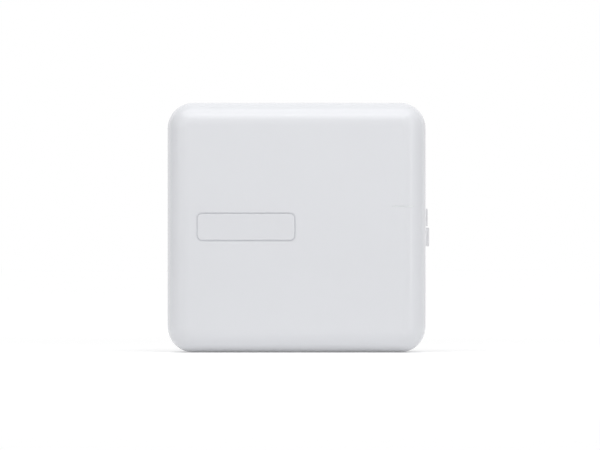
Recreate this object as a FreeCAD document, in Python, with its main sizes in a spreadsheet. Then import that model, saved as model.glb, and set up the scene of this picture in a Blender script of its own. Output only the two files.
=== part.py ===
"""Wall alarm control panel: a rounded white case with its board, battery and transformer inside.

Frame: X to the right, Y into the wall, Z up, origin at the middle of the wall face. A "depth" is the
distance in front of the wall, so depth 10 is Y = -10. All sizes are millimetres.
"""

import FreeCAD, Part
import math
import os
import re
import Sketcher

Vector = FreeCAD.Vector

SIZES = {
    # Case, as a whole
    "case_width": 260.0,
    "case_height": 251.5,
    "case_depth": 84.0,
    "corner_radius": 26.0,
    "front_radius": 22.0,
    "rear_radius": 1.5,
    "wall": 2.6,
    "split_depth": 46.0,
    "parting_gap": 0.3,
    # Rim inside the joint of box and cover
    "rim_height": 3.0,
    "rim_thickness": 1.6,
    "tongue_height": 3.0,
    "tongue_gap": 0.4,
    # Holes in the back wall
    "mount_inset_x": 22.0,
    "mount_inset_z": 25.75,
    "mount_hole_radius": 2.6,
    "entry_width": 80.0,
    "entry_height": 18.0,
    "entry_from_top": 17.75,
    "knockout_radius": 9.0,
    "knockout_spacing": 44.0,
    "knockout_from_bottom": 29.75,
    "knockout_groove": 0.9,
    "knockout_sink": 1.2,
    # Stiffening ribs inside the cover
    "cover_rib": 1.2,
    "cover_rib_rise": 3.0,
    "cover_rib_spacing": 60.0,
    "cover_rib_inset": 25.0,
    # Hinge at the left
    "hinge_inset": 6.0,
    "hinge_from_end": 35.75,
    "hinge_eye_radius": 3.0,
    "hinge_arm_thickness": 5.0,
    "hinge_arm_width": 4.0,
    "hinge_arm_reach": 11.5,
    "hinge_root_depth": 36.0,
    "knuckle_length": 6.0,
    "knuckle_gap": 0.3,
    "pin_radius": 1.5,
    "pin_clearance": 0.05,
    # Name plate
    "plate_from_left": 79.1,
    "plate_offset_z": 0.7,
    "plate_width": 97.2,
    "plate_height": 26.2,
    "plate_radius": 4.4,
    "plate_thickness": 1.2,
    "plate_groove": 1.4,
    "plate_edge": 0.5,
    # Status light
    "light_from_right": 23.1,
    "light_offset_z": 21.3,
    "light_width": 20.2,
    "light_thickness": 1.3,
    "light_clearance": 0.12,
    "light_collar": 4.0,
    "light_collar_wall": 1.5,
    "lamp_size": 3.0,
    "lamp_height": 1.4,
    "lamp_gap": 1.2,
    "lamp_spacing": 10.0,
    # Side keys
    "key_depth": 35.0,
    "key_width": 9.6,
    "key_spacing": 1.4,
    "upper_key_height": 17.6,
    "upper_key_proud": 2.4,
    "lower_key_height": 18.9,
    "lower_key_proud": 3.9,
    "key_edge": 0.9,
    "key_clearance": 0.15,
    "key_flange": 1.3,
    "key_flange_margin": 0.5,
    "key_stem": 4.0,
    "key_stop_gap": 0.1,
    # Key board
    "key_board_from_right": 42.0,
    "key_board_width": 32.0,
    "key_board_bottom": -20.0,
    "key_board_height": 72.0,
    "key_board_inset": 4.0,
    "board_thickness": 1.6,
    "switch_size": 7.0,
    "switch_length": 5.6,
    "switch_from_right": 11.4,
    "plunger_radius": 1.6,
    "plunger_clearance": 0.1,
    "plunger_reach": 3.4,
    "plunger_tail": 1.4,
    "plunger_stroke": 0.8,
    "plunger_spare": 0.2,
    # Tamper switch
    "tamper_from_right": 26.0,
    "tamper_offset_z": 41.0,
    "tamper_size": 6.0,
    "tamper_height": 4.0,
    "tamper_floor": 1.0,
    "tamper_plunger_length": 10.4,
    "tamper_gap": 0.3,
    "tamper_post_radius": 3.0,
    # Cover screw at the right side
    "lock_from_bottom": 77.75,
    "lock_depth": 38.0,
    "lock_screw_radius": 1.95,
    "lock_screw_length": 12.7,
    "lock_hole_clearance": 0.25,
    "lock_head_radius": 4.2,
    "lock_head_clearance": 0.4,
    "lock_head_height": 2.6,
    "lock_cross_width": 1.0,
    "lock_cross_share": 1.3,
    "lock_cup_radius": 6.8,
    "lock_cup_depth": 4.8,
    "lock_floor": 2.0,
    "lock_tab_thickness": 1.8,
    "lock_tab_width": 12.0,
    "lock_tab_gap": 0.8,
    "lock_tab_reach": 12.8,
    "lock_notch": 2.5,
    "lock_arm_lift": 1.0,
    "lock_arm_thickness": 6.0,
    "lock_boss_length": 9.0,
    "lock_boss_size": 8.0,
    # Screws of the boards, bracket and transformer
    "screw_radius": 1.2,
    "screw_length": 8.0,
    "screw_head_radius": 2.7,
    "screw_head_height": 2.0,
    "screw_clearance": 0.06,
    "screw_slot_width": 0.5,
    "screw_slot_share": 1.5,
    "screw_hole_clearance": 0.3,
    "bore_spare": 0.2,
    "pillar_radius": 3.4,
    # How far a cutting tool runs past what it cuts
    "overrun": 1.0,
    # Main board
    "board_from_left": 38.0,
    "board_from_right": 50.0,
    "board_from_top": 33.75,
    "board_height": 102.0,
    "board_standoff": 10.0,
    "board_hole_inset": 5.0,
    "middle_pillar_across": 57.3,
    "middle_pillar_up": 51.0,
    # Battery, a 12 V 7 Ah block of 151 by 65 by 94 that fills the room between these margins
    "battery_from_right": 28.0,
    "battery_from_left": 81.0,
    "battery_from_bottom": 6.75,
    "battery_from_top": 150.75,
    "battery_depth": 65.0,
    "battery_lid": 4.0,
    "battery_edge": 2.0,
    "battery_standoff": 2.0,
    "battery_rib": 2.4,
    "battery_pad_height": 72.0,
    "battery_stop_height": 16.0,
    "battery_stop_setback": 6.0,
    "battery_shelf_setback": 2.0,
    "blade_width": 6.3,
    "blade_thickness": 0.8,
    "blade_height": 7.0,
    "blade_inset": 10.0,
    "blade_depth": 58.0,
    "sleeve_width": 8.6,
    "sleeve_thickness": 4.4,
    "sleeve_height": 16.0,
    "sleeve_clearance": 0.1,
    # Battery bracket
    "bracket_thickness": 1.2,
    "bracket_height": 20.0,
    "bracket_up": 47.0,
    "bracket_foot": 13.0,
    "bracket_post_height": 27.4,
    "bracket_clearance": 0.3,
    # Transformer
    "core_from_left": 41.0,
    "core_from_bottom": 55.75,
    "core_stack": 24.0,
    "core_length": 56.0,
    "core_height": 47.0,
    "core_limb": 9.5,
    "core_standoff": 6.0,
    "coil_overhang": 10.0,
    "coil_clearance": 0.2,
    "bobbin_flange": 1.5,
    "coil_setback": 1.0,
    "coil_edge": 2.0,
    "strap_thickness": 1.2,
    "strap_width": 18.0,
    "strap_foot": 12.0,
    "strap_post_radius": 5.0,
    # Mains terminal block
    "mains_from_left": 8.0,
    "mains_up": 24.0,
    "mains_length": 18.0,
    "mains_pitch": 8.0,
    "mains_height": 17.0,
    "mains_screw_radius": 2.2,
    "mains_screw_clearance": 0.2,
    "mains_screw_sink": 2.5,
    # Board terminals
    "terminal_pitch": 5.0,
    "terminal_length": 10.0,
    "terminal_height": 12.0,
    "terminal_inset": 3.0,
    "terminal_screw_radius": 1.7,
    "terminal_screw_clearance": 0.15,
    "terminal_screw_inset": 4.0,
    "terminal_screw_sink": 1.0,
    "terminal_screw_height": 2.0,
    "wire_hole": 3.0,
    "wire_hole_depth": 3.5,
    "zone_across": 4.0,
    "terminal_strip_gap": 6.0,
    # Radio module
    "module_across": 6.0,
    "module_up": 40.0,
    "module_width": 34.0,
    "module_height": 42.0,
    "module_standoff": 8.5,
    "module_thickness": 1.2,
    "header_width": 28.0,
    "header_height": 5.0,
    "header_inset": 1.5,
    "can_width": 24.0,
    "can_rise": 3.0,
    "antenna_radius": 3.0,
    "antenna_length": 30.0,
    # Components of the main board; "across" and "up" run from its left and bottom edges
    "relay_across": 126.0,
    "relay_up": 66.0,
    "relay_width": 15.5,
    "relay_length": 19.0,
    "relay_rise": 15.5,
    "relay_spacing": 19.0,
    "capacitor_across": 20.0,
    "capacitor_up": 24.0,
    "capacitor_radius": 6.5,
    "capacitor_rise": 25.0,
    "small_capacitor_across": 31.0,
    "small_capacitor_up": 8.0,
    "small_capacitor_radius": 4.0,
    "small_capacitor_rise": 12.0,
    "small_capacitor_spacing": 10.0,
    "chip_rise": 1.6,
    "processor_across": 72.0,
    "processor_up": 52.0,
    "processor_size": 14.0,
    "memory_across": 91.0,
    "memory_up": 46.0,
    "memory_width": 8.0,
    "memory_length": 5.0,
    "memory_spacing": 12.0,
    "buzzer_across": 144.0,
    "buzzer_up": 34.0,
    "buzzer_radius": 7.0,
    "buzzer_rise": 9.0,
    "led_across": 84.0,
    "led_up": 80.0,
    "led_radius": 1.5,
    "led_rise": 5.0,
    "led_spacing": 6.0,
    "jack_up": 38.0,
    "jack_size": 16.0,
    "jack_rise": 13.5,
    "jack_wall": 2.0,
    "jack_sink": 10.0,
    "fuse_across": 73.0,
    "fuse_up": 9.0,
    "fuse_spacing": 10.0,
    "fuse_radius": 2.6,
    "fuse_length": 20.0,
    "fuse_axis_rise": 4.6,
    "clip_width": 5.0,
    "clip_length": 8.0,
    "clip_rise": 7.0,
    "clip_gap": 0.1,
    "clip_mouth": 4.4,
    "cell_across": 100.0,
    "cell_up": 26.0,
    "cell_radius": 10.0,
    "cell_rise": 3.2,
    "cell_holder_wall": 1.8,
    "cell_holder_floor": 1.0,
    "cell_clearance": 0.2,
    "sink_across": 47.0,
    "sink_up": 26.0,
    "sink_length": 24.0,
    "sink_rise": 20.0,
    "sink_plate": 2.0,
    "fin_reach": 5.0,
    "fin_thickness": 1.4,
    "fin_lift": 4.0,
    "regulator_width": 10.0,
    "regulator_thickness": 4.4,
    "regulator_rise": 15.0,
    "tab_across": 110.0,
    "tab_up": 8.0,
    "tab_spacing": 16.0,
    "supply_socket_across": 8.0,
    "supply_socket_up": 22.0,
    "key_socket_across": 164.0,
    "key_socket_up": 18.0,
    "socket_width": 8.0,
    "socket_length": 10.0,
    "socket_rise": 8.0,
    "key_lead_across": 7.0,
    "key_lead_up": 30.0,
    # Leads
    "lead_radius": 1.2,
    "lead_run": 9.5,
    "supply_lead_run": 11.5,
    "key_lead_run": 7.5,
    "signal_lead_run": 10.5,
    "signal_lead_radius": 0.8,
    "signal_lead_spacing": 2.4,
    "secondary_lead_spacing": 4.0,
    "primary_lead_depth": 25.0,
    "primary_lead_spacing": 11.0,
    "secondary_lead_depth": 30.0,
    "secondary_coil_spacing": 8.0,
    "coil_lead_inset": 4.0,
    "coil_lead_rise": 12.5,
    "coil_lead_sink": 0.5,
}

ZONE_COUNT = 16
OUTPUT_COUNT = 14
MAINS_POLES = 3
BATTERY_RIBS = 4
HEAT_SINK_FINS = 5
STATUS_LEDS = 5
SMALL_CAPACITORS = 3
SIGNAL_WIRES = 3
KNOCKOUTS = 3

# Places that follow from the case and from each other
PLACES = {
    "mount_spacing_x": "case_width - 2 * mount_inset_x",
    "mount_spacing_z": "case_height - 2 * mount_inset_z",
    "entry_level": "case_height / 2 - entry_from_top",
    "knockout_level": "knockout_from_bottom - case_height / 2",
    "hinge_level": "case_height / 2 - hinge_from_end",
    "plate_x": "plate_from_left - case_width / 2",
    "light_x": "case_width / 2 - light_from_right",
    "key_board_left": "case_width / 2 - key_board_from_right",
    "switch_right": "case_width / 2 - switch_from_right",
    "tamper_x": "case_width / 2 - tamper_from_right",
    "lock_level": "lock_from_bottom - case_height / 2",
    "board_left": "board_from_left - case_width / 2",
    "board_width": "case_width - board_from_left - board_from_right",
    "board_bottom": "case_height / 2 - board_from_top - board_height",
    "battery_width": "case_width - battery_from_left - battery_from_right",
    "battery_height": "case_height - battery_from_top - battery_from_bottom - battery_lid",
    "battery_left": "battery_from_left - case_width / 2",
    "battery_bottom": "battery_from_bottom - case_height / 2",
    "bracket_level": "battery_bottom + bracket_up",
    "core_x": "core_from_left - case_width / 2",
    "core_level": "core_from_bottom - case_height / 2",
    "mains_left": "mains_from_left - case_width / 2",
    "mains_bottom": "board_bottom + mains_up",
    "zone_left": "board_left + zone_across",
    "output_left": f"zone_left + terminal_pitch * {ZONE_COUNT} + terminal_strip_gap",
    "module_left": "board_left + module_across",
    "module_bottom": "board_bottom + module_up",
}

# How each lead leaves the direct line between its ends: share of the way, then right, forward and up
RED_SAGS = [
    (0.09, -1.8, 3.6, 8.6),
    (0.33, -2.9, 7.0, 17.3),
    (0.63, -3.5, 9.5, 16.0),
    (0.86, -3.1, 8.7, 7.6),
]
BLACK_SAGS = [
    (0.08, 1.4, 3.5, 8.6),
    (0.31, 3.3, 7.1, 17.2),
    (0.6, 3.8, 8.9, 17.0),
    (0.84, 3.1, 7.8, 8.6),
]
PRIMARY_SAGS = [
    [(0.37, -2.4, -1.5, -1.1), (0.72, -0.6, 1.7, 0.3)],
    [(0.34, -0.9, -2.7, -1.5), (0.64, -0.1, -0.0, -0.2)],
]
SECONDARY_SAGS = [
    [(0.26, 2.6, 3.5, 0.3), (0.53, 2.4, 8.0, 0.3), (0.8, -0.3, 8.0, -0.7)],
    [(0.25, 2.0, 5.1, 0.8), (0.51, 2.1, 10.7, 1.3), (0.77, 0.2, 11.3, 0.9)],
]
SIGNAL_SAGS = [(0.12, -4.2, 6.7, -0.4), (0.57, -3.9, 6.2, -0.2)]

doc = FreeCAD.newDocument("alarm_control_panel")
sheet = doc.addObject("Spreadsheet::Sheet", "Sizes")
NAMED = {word: str(number) for word, number in SIZES.items()}
NAMED |= {word: "=" + text for word, text in PLACES.items()}
for row, (word, content) in enumerate(NAMED.items(), start=1):
    sheet.set(f"A{row}", word)
    sheet.setAlias(f"B{row}", word)
    sheet.set(f"B{row}", content)
doc.recompute()


def bound(text):
    """An expression in plain words, with each size pointed at its cell."""
    return re.sub(r"[a-z_]+", lambda found: "Sizes." + found[0] if found[0] in NAMED else found[0], str(text))


def size(text):
    """The present value of an expression in plain words."""
    return float(sheet.evalExpression(bound(text)))


def place(item, x, depth, z):
    """Ties an object's base point to expressions."""
    item.setExpression("Placement.Base.x", bound(x))
    item.setExpression("Placement.Base.y", bound(f"-({depth})"))
    item.setExpression("Placement.Base.z", bound(z))


def block(name, x, depth, z, body=None, kind="Additive"):
    """A box between two values on each axis, free or as a feature of a body."""
    maker = body.newObject if body else doc.addObject
    item = maker(f"PartDesign::{kind}Box" if body else "Part::Box", name)
    item.setExpression("Length", bound(f"({x[1]}) - ({x[0]})"))
    item.setExpression("Width", bound(f"({depth[1]}) - ({depth[0]})"))
    item.setExpression("Height", bound(f"({z[1]}) - ({z[0]})"))
    place(item, x[0], depth[1], z[0])
    return item


TURNS = {
    "x": FreeCAD.Rotation(Vector(0, 1, 0), 90),
    "depth": FreeCAD.Rotation(Vector(1, 0, 0), 90),
    "z": FreeCAD.Rotation(),
}


def rod(name, axis, radius, span, x=0, depth=0, z=0):
    """A cylinder along an axis, between the two values of its span."""
    item = doc.addObject("Part::Cylinder", name)
    item.Placement = FreeCAD.Placement(Vector(), TURNS[axis])
    item.setExpression("Radius", bound(radius))
    item.setExpression("Height", bound(f"({span[1]}) - ({span[0]})"))
    start = {"x": x, "depth": depth, "z": z}
    start[axis] = span[0]
    place(item, start["x"], start["depth"], start["z"])
    return item


def fuse(name, items):
    """One solid from several that meet."""
    item = doc.addObject("Part::MultiFuse", name)
    item.Shapes = items
    return item


def group(name, items):
    """Separate solids under one name."""
    item = doc.addObject("Part::Compound", name)
    item.Links = items
    return item


def cut(name, base, tools):
    """A solid less its tools."""
    item = doc.addObject("Part::Cut", name)
    item.Base = base
    item.Tool = tools[0] if len(tools) == 1 else fuse(f"{name}_tools", tools)
    return item


def sketch_at(body, name, depth):
    """A sketch parallel to the wall, at a depth."""
    plane = next(item for item in body.Origin.OriginFeatures if item.Role == "XZ_Plane")
    sketch = body.newObject("Sketcher::SketchObject", name)
    sketch.AttachmentSupport = [(plane, "")]
    sketch.MapMode = "FlatFace"
    sketch.setExpression("AttachmentOffset.Base.z", bound(depth))
    return sketch


def rounded_outline(sketch, width, height, radius, x="0", z="0"):
    """A rectangle with round corners, its sizes and middle tied to expressions."""
    first = sketch.GeometryCount
    across, up, round_ = size(width) / 2, size(height) / 2, size(radius)
    middle = Vector(size(x), size(z), 0)
    corners = [(1, -1), (1, 1), (-1, 1), (-1, -1)]
    for index, (right, top) in enumerate(corners):
        centre = middle + Vector(right * (across - round_), top * (up - round_), 0)
        start = -math.pi / 2 + index * math.pi / 2
        circle = Part.Circle(centre, Vector(0, 0, 1), round_)
        sketch.addGeometry(Part.ArcOfCircle(circle, start, start + math.pi / 2), False)
    for index in range(4):
        begin = sketch.getPoint(first + index, 2)
        end = sketch.getPoint(first + (index + 1) % 4, 1)
        sketch.addGeometry(Part.LineSegment(begin, end), False)
    line = first + 4
    for index in range(4):
        sketch.addConstraint(Sketcher.Constraint("Tangent", first + index, 2, line + index, 1))
        sketch.addConstraint(Sketcher.Constraint("Tangent", line + index, 2, first + (index + 1) % 4, 1))
        if index:
            sketch.addConstraint(Sketcher.Constraint("Equal", first, first + index))
    for index, direction in enumerate(("Vertical", "Horizontal", "Vertical", "Horizontal")):
        sketch.addConstraint(Sketcher.Constraint(direction, line + index))
    tied = [
        (Sketcher.Constraint("Radius", first, round_), radius),
        (Sketcher.Constraint("DistanceX", line + 2, 1, line, 1, 2 * across), width),
        (Sketcher.Constraint("DistanceY", line + 3, 1, line + 1, 1, 2 * up), height),
        (Sketcher.Constraint("DistanceX", -1, 1, line, 1, middle.x + across), f"({x}) + ({width}) / 2"),
        (Sketcher.Constraint("DistanceY", -1, 1, line + 1, 1, middle.y + up), f"({z}) + ({height}) / 2"),
    ]
    for constraint, text in tied:
        sketch.setExpression(f"Constraints[{sketch.addConstraint(constraint)}]", bound(text))


def pad(body, name, depth, length, outlines):
    """Pads one outline, or the ring between two, towards the front."""
    sketch = sketch_at(body, f"{name}_outline", depth)
    for outline in outlines:
        rounded_outline(sketch, *outline)
    feature = body.newObject("PartDesign::Pad", name)
    feature.Profile = sketch
    feature.setExpression("Length", bound(length))
    doc.recompute()
    return feature


def pocket(body, name, depth, length, outline):
    """Cuts an outline from a depth towards the front."""
    before = body.Shape.Volume
    sketch = sketch_at(body, f"{name}_outline", depth)
    rounded_outline(sketch, *outline)
    feature = body.newObject("PartDesign::Pocket", name)
    feature.Profile = sketch
    feature.Reversed = True
    feature.setExpression("Length", bound(length))
    doc.recompute()
    if body.Shape.Volume > before - 1:
        raise ValueError(f"{name} cuts nothing")
    return feature


def fillet(body, name, base, radius, chosen):
    """Rounds the edges of a feature that a test picks by their bounds."""
    doc.recompute()
    names = [f"Edge{i}" for i, edge in enumerate(base.Shape.Edges, start=1) if chosen(edge.BoundBox)]
    feature = body.newObject("PartDesign::Fillet", name)
    feature.Base = (base, names)
    feature.setExpression("Radius", bound(radius))
    doc.recompute()
    return feature


def at_depth(depth):
    """Picks the edges that lie wholly at one depth."""
    level = -size(depth)
    return lambda box: abs(box.YMin - level) < 1e-4 and abs(box.YMax - level) < 1e-4


def rounded_block(name, x, depth, z, radius, chosen):
    """A body that starts as a box with some edges rounded."""
    body = doc.addObject("PartDesign::Body", name)
    base = block(f"{name}_block", x, depth, z, body)
    fillet(body, f"{name}_edges", base, radius, chosen)
    return body


def upright(box):
    """Picks the edges that run up the object."""
    return box.ZLength > 1 and box.XLength < 1e-4 and box.YLength < 1e-4


def along_depth(box):
    """Picks the edges that run square to the wall."""
    return box.YLength > 1 and box.XLength < 1e-4 and box.ZLength < 1e-4


def screw(name, x, depth, z, head="screw_head_radius"):
    """A pan-head screw driven towards the wall, its head resting at a depth."""
    crown = rod(f"{name}_head", "depth", head, (depth, f"({depth}) + screw_head_height"), x=x, z=z)
    shank = rod(f"{name}_shank", "depth", "screw_radius", (f"({depth}) - screw_length", depth), x=x, z=z)
    slot = block(
        f"{name}_slot",
        around(x, f"screw_slot_share * ({head})"),
        (f"({depth}) + screw_head_height / 2", f"({depth}) + screw_head_height + overrun"),
        around(z, "screw_slot_width"),
    )
    return cut(name, fuse(f"{name}_form", [crown, shank]), [slot])


def around(middle, width):
    """The two ends of a width about a middle."""
    return f"({middle}) - ({width}) / 2", f"({middle}) + ({width}) / 2"


# Places that several pieces share

INNER_X = "(case_width / 2 - wall)"
INNER_Z = "(case_height / 2 - wall)"
COVER_REAR = "(split_depth + parting_gap)"
COVER_INSIDE = "(case_depth - wall)"
PIVOT_X = "(hinge_inset - case_width / 2)"
PIVOT_DEPTH = f"({COVER_REAR} + hinge_inset)"
PIN_BORE = "pin_radius + pin_clearance"
PILOT_BORE = "screw_radius + screw_clearance"
SCREW_HOLE = "screw_radius + screw_hole_clearance"

BOARD_REAR = "(wall + board_standoff)"
BOARD_FRONT = f"({BOARD_REAR} + board_thickness)"
BOARD_RIGHT = "(board_left + board_width)"
BOARD_TOP = "(board_bottom + board_height)"
TERMINALS_BOTTOM = f"({BOARD_TOP} - terminal_inset - terminal_length)"
KEY_BOARD_FRONT = "(key_depth - switch_size / 2)"
KEY_BOARD_REAR = f"({KEY_BOARD_FRONT} - board_thickness)"

BATTERY_REAR = "(wall + battery_standoff)"
BATTERY_FRONT = f"({BATTERY_REAR} + battery_depth)"
BATTERY_RIGHT = "(battery_left + battery_width)"
BATTERY_TOP = "(battery_bottom + battery_height + battery_lid)"
BRACKET_SEAT = "(wall + bracket_post_height)"
BRACKET_POSTS = [
    "(battery_left - bracket_clearance - bracket_thickness - bracket_foot / 2)",
    f"({BATTERY_RIGHT} + bracket_clearance + bracket_thickness + bracket_foot / 2)",
]

CORE_REAR = "(wall + core_standoff)"
CORE_FRONT = f"({CORE_REAR} + core_height)"
STRAP_SCREWS = [
    f"(core_level {sign} (core_length / 2 + strap_thickness + strap_foot / 2))" for sign in ("+", "-")
]

COIL_TOP = "(core_level + core_length / 2 - core_limb - coil_clearance - coil_lead_sink)"

UPPER_KEY = ("key_spacing", "key_spacing + upper_key_height")
LOWER_KEY = ("-lower_key_height", "0")
UPPER_KEY_LEVEL = "(key_spacing + upper_key_height / 2)"
LOWER_KEY_LEVEL = "(-lower_key_height / 2)"

LOCK_CUP = f"({INNER_X} - lock_cup_depth)"
LOCK_SEAT = f"({LOCK_CUP} + lock_floor)"
LOCK_TAB_RIGHT = f"({LOCK_CUP} - lock_tab_gap)"
LOCK_TAB_LEFT = f"({LOCK_TAB_RIGHT} - lock_tab_thickness)"
LOCK_BOSS_RIGHT = f"({LOCK_TAB_LEFT} - tongue_gap)"
LOCK_BOSS_LEFT = f"({LOCK_BOSS_RIGHT} - lock_boss_length)"

TAMPER_REST = f"({KEY_BOARD_FRONT} + tamper_height / 2 + tamper_plunger_length)"
TAMPER_POST_END = f"({TAMPER_REST} + tamper_gap)"

BLADE_X = ("(battery_left + blade_inset)", f"({BATTERY_RIGHT} - blade_inset)")
TAB_X = ("(board_left + tab_across)", "(board_left + tab_across + tab_spacing)")
TAB_LEVEL = "(board_bottom + tab_up)"
SLEEVE_TOP = f"({BATTERY_TOP} + sleeve_clearance + sleeve_height)"
SLEEVE_FRONT = f"({BOARD_FRONT} + sleeve_clearance + sleeve_height)"

BOARD_PILLARS = [
    (x, z)
    for x in ("(board_left + board_hole_inset)", f"({BOARD_RIGHT} - board_hole_inset)")
    for z in ("(board_bottom + board_hole_inset)", f"({TERMINALS_BOTTOM} - board_hole_inset)")
]
BOARD_PILLARS.append(("(board_left + middle_pillar_across)", "(board_bottom + middle_pillar_up)"))
KEY_BOARD_SIDE = "(key_board_left + key_board_inset)"
KEY_BOARD_PILLARS = [
    (KEY_BOARD_SIDE, "(key_board_bottom + key_board_inset)"),
    (KEY_BOARD_SIDE, "(key_board_bottom + key_board_height - key_board_inset)"),
    (
        "(key_board_left + key_board_width - key_board_inset)",
        "(key_board_bottom + key_board_height - key_board_inset)",
    ),
]


def back_box():
    """The wall case: shell, rim, ribs, pillars, hinge arms, screw cup and boss, knock-outs."""
    shell = doc.addObject("PartDesign::Body", "back_shell")
    outline = ("case_width", "case_height", "corner_radius")
    outside = pad(shell, "back_block", "0", "split_depth", [outline])
    fillet(shell, "back_edge", outside, "rear_radius", at_depth("0"))
    inside = ("case_width - 2 * wall", "case_height - 2 * wall", "corner_radius - wall")
    pocket(shell, "back_cavity", "wall", "split_depth", inside)

    def inset(distance):
        """An outline drawn in from the outer wall."""
        return (
            f"case_width - 2 * ({distance})",
            f"case_height - 2 * ({distance})",
            f"corner_radius - ({distance})",
        )

    rim = [inset("wall / 2"), inset("wall + rim_thickness")]
    pad(shell, "back_rim", "split_depth - rim_height", "rim_height", rim)
    tongue = [inset("wall + tongue_gap"), inset("wall + rim_thickness")]
    pad(shell, "back_tongue", "split_depth", "tongue_height", tongue)
    past = ("split_depth", "split_depth + tongue_height + overrun")
    left = ("-case_width / 2", "corner_radius - case_width / 2")
    full = ("-case_height / 2", "case_height / 2")
    block("tongue_relief", left, past, full, shell, "Subtractive")

    added = [shell]
    bores = []
    for number, (x, z) in enumerate(BOARD_PILLARS):
        span = ("wall / 2", BOARD_REAR)
        added.append(rod(f"board_pillar_{number}", "depth", "pillar_radius", span, x=x, z=z))
        span = (f"{BOARD_FRONT} - screw_length - bore_spare", f"{BOARD_REAR} + overrun")
        bores.append(rod(f"board_bore_{number}", "depth", PILOT_BORE, span, x=x, z=z))
    for number, (x, z) in enumerate(KEY_BOARD_PILLARS):
        span = ("wall / 2", KEY_BOARD_REAR)
        added.append(rod(f"key_pillar_{number}", "depth", "pillar_radius", span, x=x, z=z))
        span = (f"{KEY_BOARD_FRONT} - screw_length - bore_spare", f"{KEY_BOARD_REAR} + overrun")
        bores.append(rod(f"key_bore_{number}", "depth", PILOT_BORE, span, x=x, z=z))
    for number, x in enumerate(BRACKET_POSTS):
        span = ("wall / 2", BRACKET_SEAT)
        added.append(rod(f"bracket_post_{number}", "depth", "pillar_radius", span, x=x, z="bracket_level"))
        end = f"{BRACKET_SEAT} + bracket_thickness - screw_length - bore_spare"
        span = (end, f"{BRACKET_SEAT} + overrun")
        bores.append(rod(f"bracket_bore_{number}", "depth", PILOT_BORE, span, x=x, z="bracket_level"))
    for number, z in enumerate(STRAP_SCREWS):
        span = ("wall / 2", CORE_REAR)
        added.append(rod(f"strap_post_{number}", "depth", "strap_post_radius", span, x="core_x", z=z))
        span = (f"{CORE_REAR} + strap_thickness - screw_length - bore_spare", f"{CORE_REAR} + overrun")
        bores.append(rod(f"strap_bore_{number}", "depth", PILOT_BORE, span, x="core_x", z=z))
    for number, sign in enumerate(("+", "-")):
        z = around(f"core_level {sign} core_length / 4", "wall")
        x = around("core_x", "core_stack")
        added.append(block(f"core_rib_{number}", x, ("wall / 2", CORE_REAR), z))

    for number in range(BATTERY_RIBS):
        middle = f"battery_left + battery_width * {(number + 0.5) / BATTERY_RIBS}"
        x = around(middle, "battery_rib")
        floor = (f"-{INNER_Z} - wall / 2", "battery_bottom")
        shelf = ("wall / 2", "split_depth - battery_shelf_setback")
        added.append(block(f"battery_shelf_{number}", x, shelf, floor))
        back = ("battery_bottom - wall / 2", "battery_bottom + battery_pad_height")
        added.append(block(f"battery_pad_{number}", x, ("wall / 2", BATTERY_REAR), back))
    sides = [
        ("battery_left - bracket_clearance - battery_rib", "battery_left - bracket_clearance"),
        (f"{BATTERY_RIGHT} + bracket_clearance", f"{BATTERY_RIGHT} + bracket_clearance + battery_rib"),
    ]
    for number, x in enumerate(sides):
        z = (f"-{INNER_Z} - wall / 2", "battery_bottom + battery_stop_height")
        stop = ("wall / 2", "split_depth - battery_stop_setback")
        added.append(block(f"battery_stop_{number}", x, stop, z))

    for number, sign in enumerate(("", "-")):
        z = around(f"{sign}hinge_level", "hinge_arm_thickness")
        reach = f"{PIVOT_X} + hinge_arm_reach"
        bend = f"{reach} - hinge_arm_width"
        tip = f"{PIVOT_DEPTH} + hinge_eye_radius"
        root = ("hinge_root_depth", "hinge_root_depth + hinge_inset")
        added.append(block(f"hinge_root_{number}", (f"-{INNER_X} - wall / 2", reach), root, z))
        added.append(block(f"hinge_arm_{number}", (bend, reach), ("hinge_root_depth", tip), z))
        nose = (f"{PIVOT_DEPTH} - hinge_eye_radius / 2", tip)
        added.append(block(f"hinge_nose_{number}", (PIVOT_X, reach), nose, z))
        eye = rod(f"hinge_eye_{number}", "z", "hinge_eye_radius", z, x=PIVOT_X, depth=PIVOT_DEPTH)
        added.append(eye)
        span = (f"{sign}hinge_level - hinge_arm_thickness", f"{sign}hinge_level + hinge_arm_thickness")
        bores.append(rod(f"hinge_bore_{number}", "z", PIN_BORE, span, x=PIVOT_X, depth=PIVOT_DEPTH))

    cup_end = "case_width / 2 - wall / 2"
    lock = {"depth": "lock_depth", "z": "lock_level"}
    added.append(rod("lock_cup", "x", "lock_cup_radius", (LOCK_CUP, cup_end), **lock))
    boss = (LOCK_BOSS_LEFT, LOCK_BOSS_RIGHT)
    boss_depth = ("wall / 2", "lock_depth + lock_boss_size / 2")
    added.append(block("lock_boss", boss, boss_depth, around("lock_level", "lock_boss_size")))
    outside_x = "case_width / 2 + overrun"
    sink = (LOCK_SEAT, outside_x)
    bores.append(rod("lock_sink", "x", "lock_head_radius + lock_head_clearance", sink, **lock))
    hole = (f"{LOCK_CUP} - overrun", LOCK_SEAT)
    bores.append(rod("lock_hole", "x", "lock_screw_radius + lock_hole_clearance", hole, **lock))
    bore = (f"{LOCK_BOSS_LEFT} - overrun", f"{LOCK_BOSS_RIGHT} + overrun")
    bores.append(rod("lock_bore", "x", "lock_screw_radius + screw_clearance", bore, **lock))

    for number, level in enumerate((UPPER_KEY, LOWER_KEY)):
        z = (f"{level[0]} - key_clearance", f"{level[1]} + key_clearance")
        depth = around("key_depth", "key_width + 2 * key_clearance")
        bores.append(block(f"key_slot_{number}", (f"{INNER_X} - overrun", outside_x), depth, z))

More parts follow.
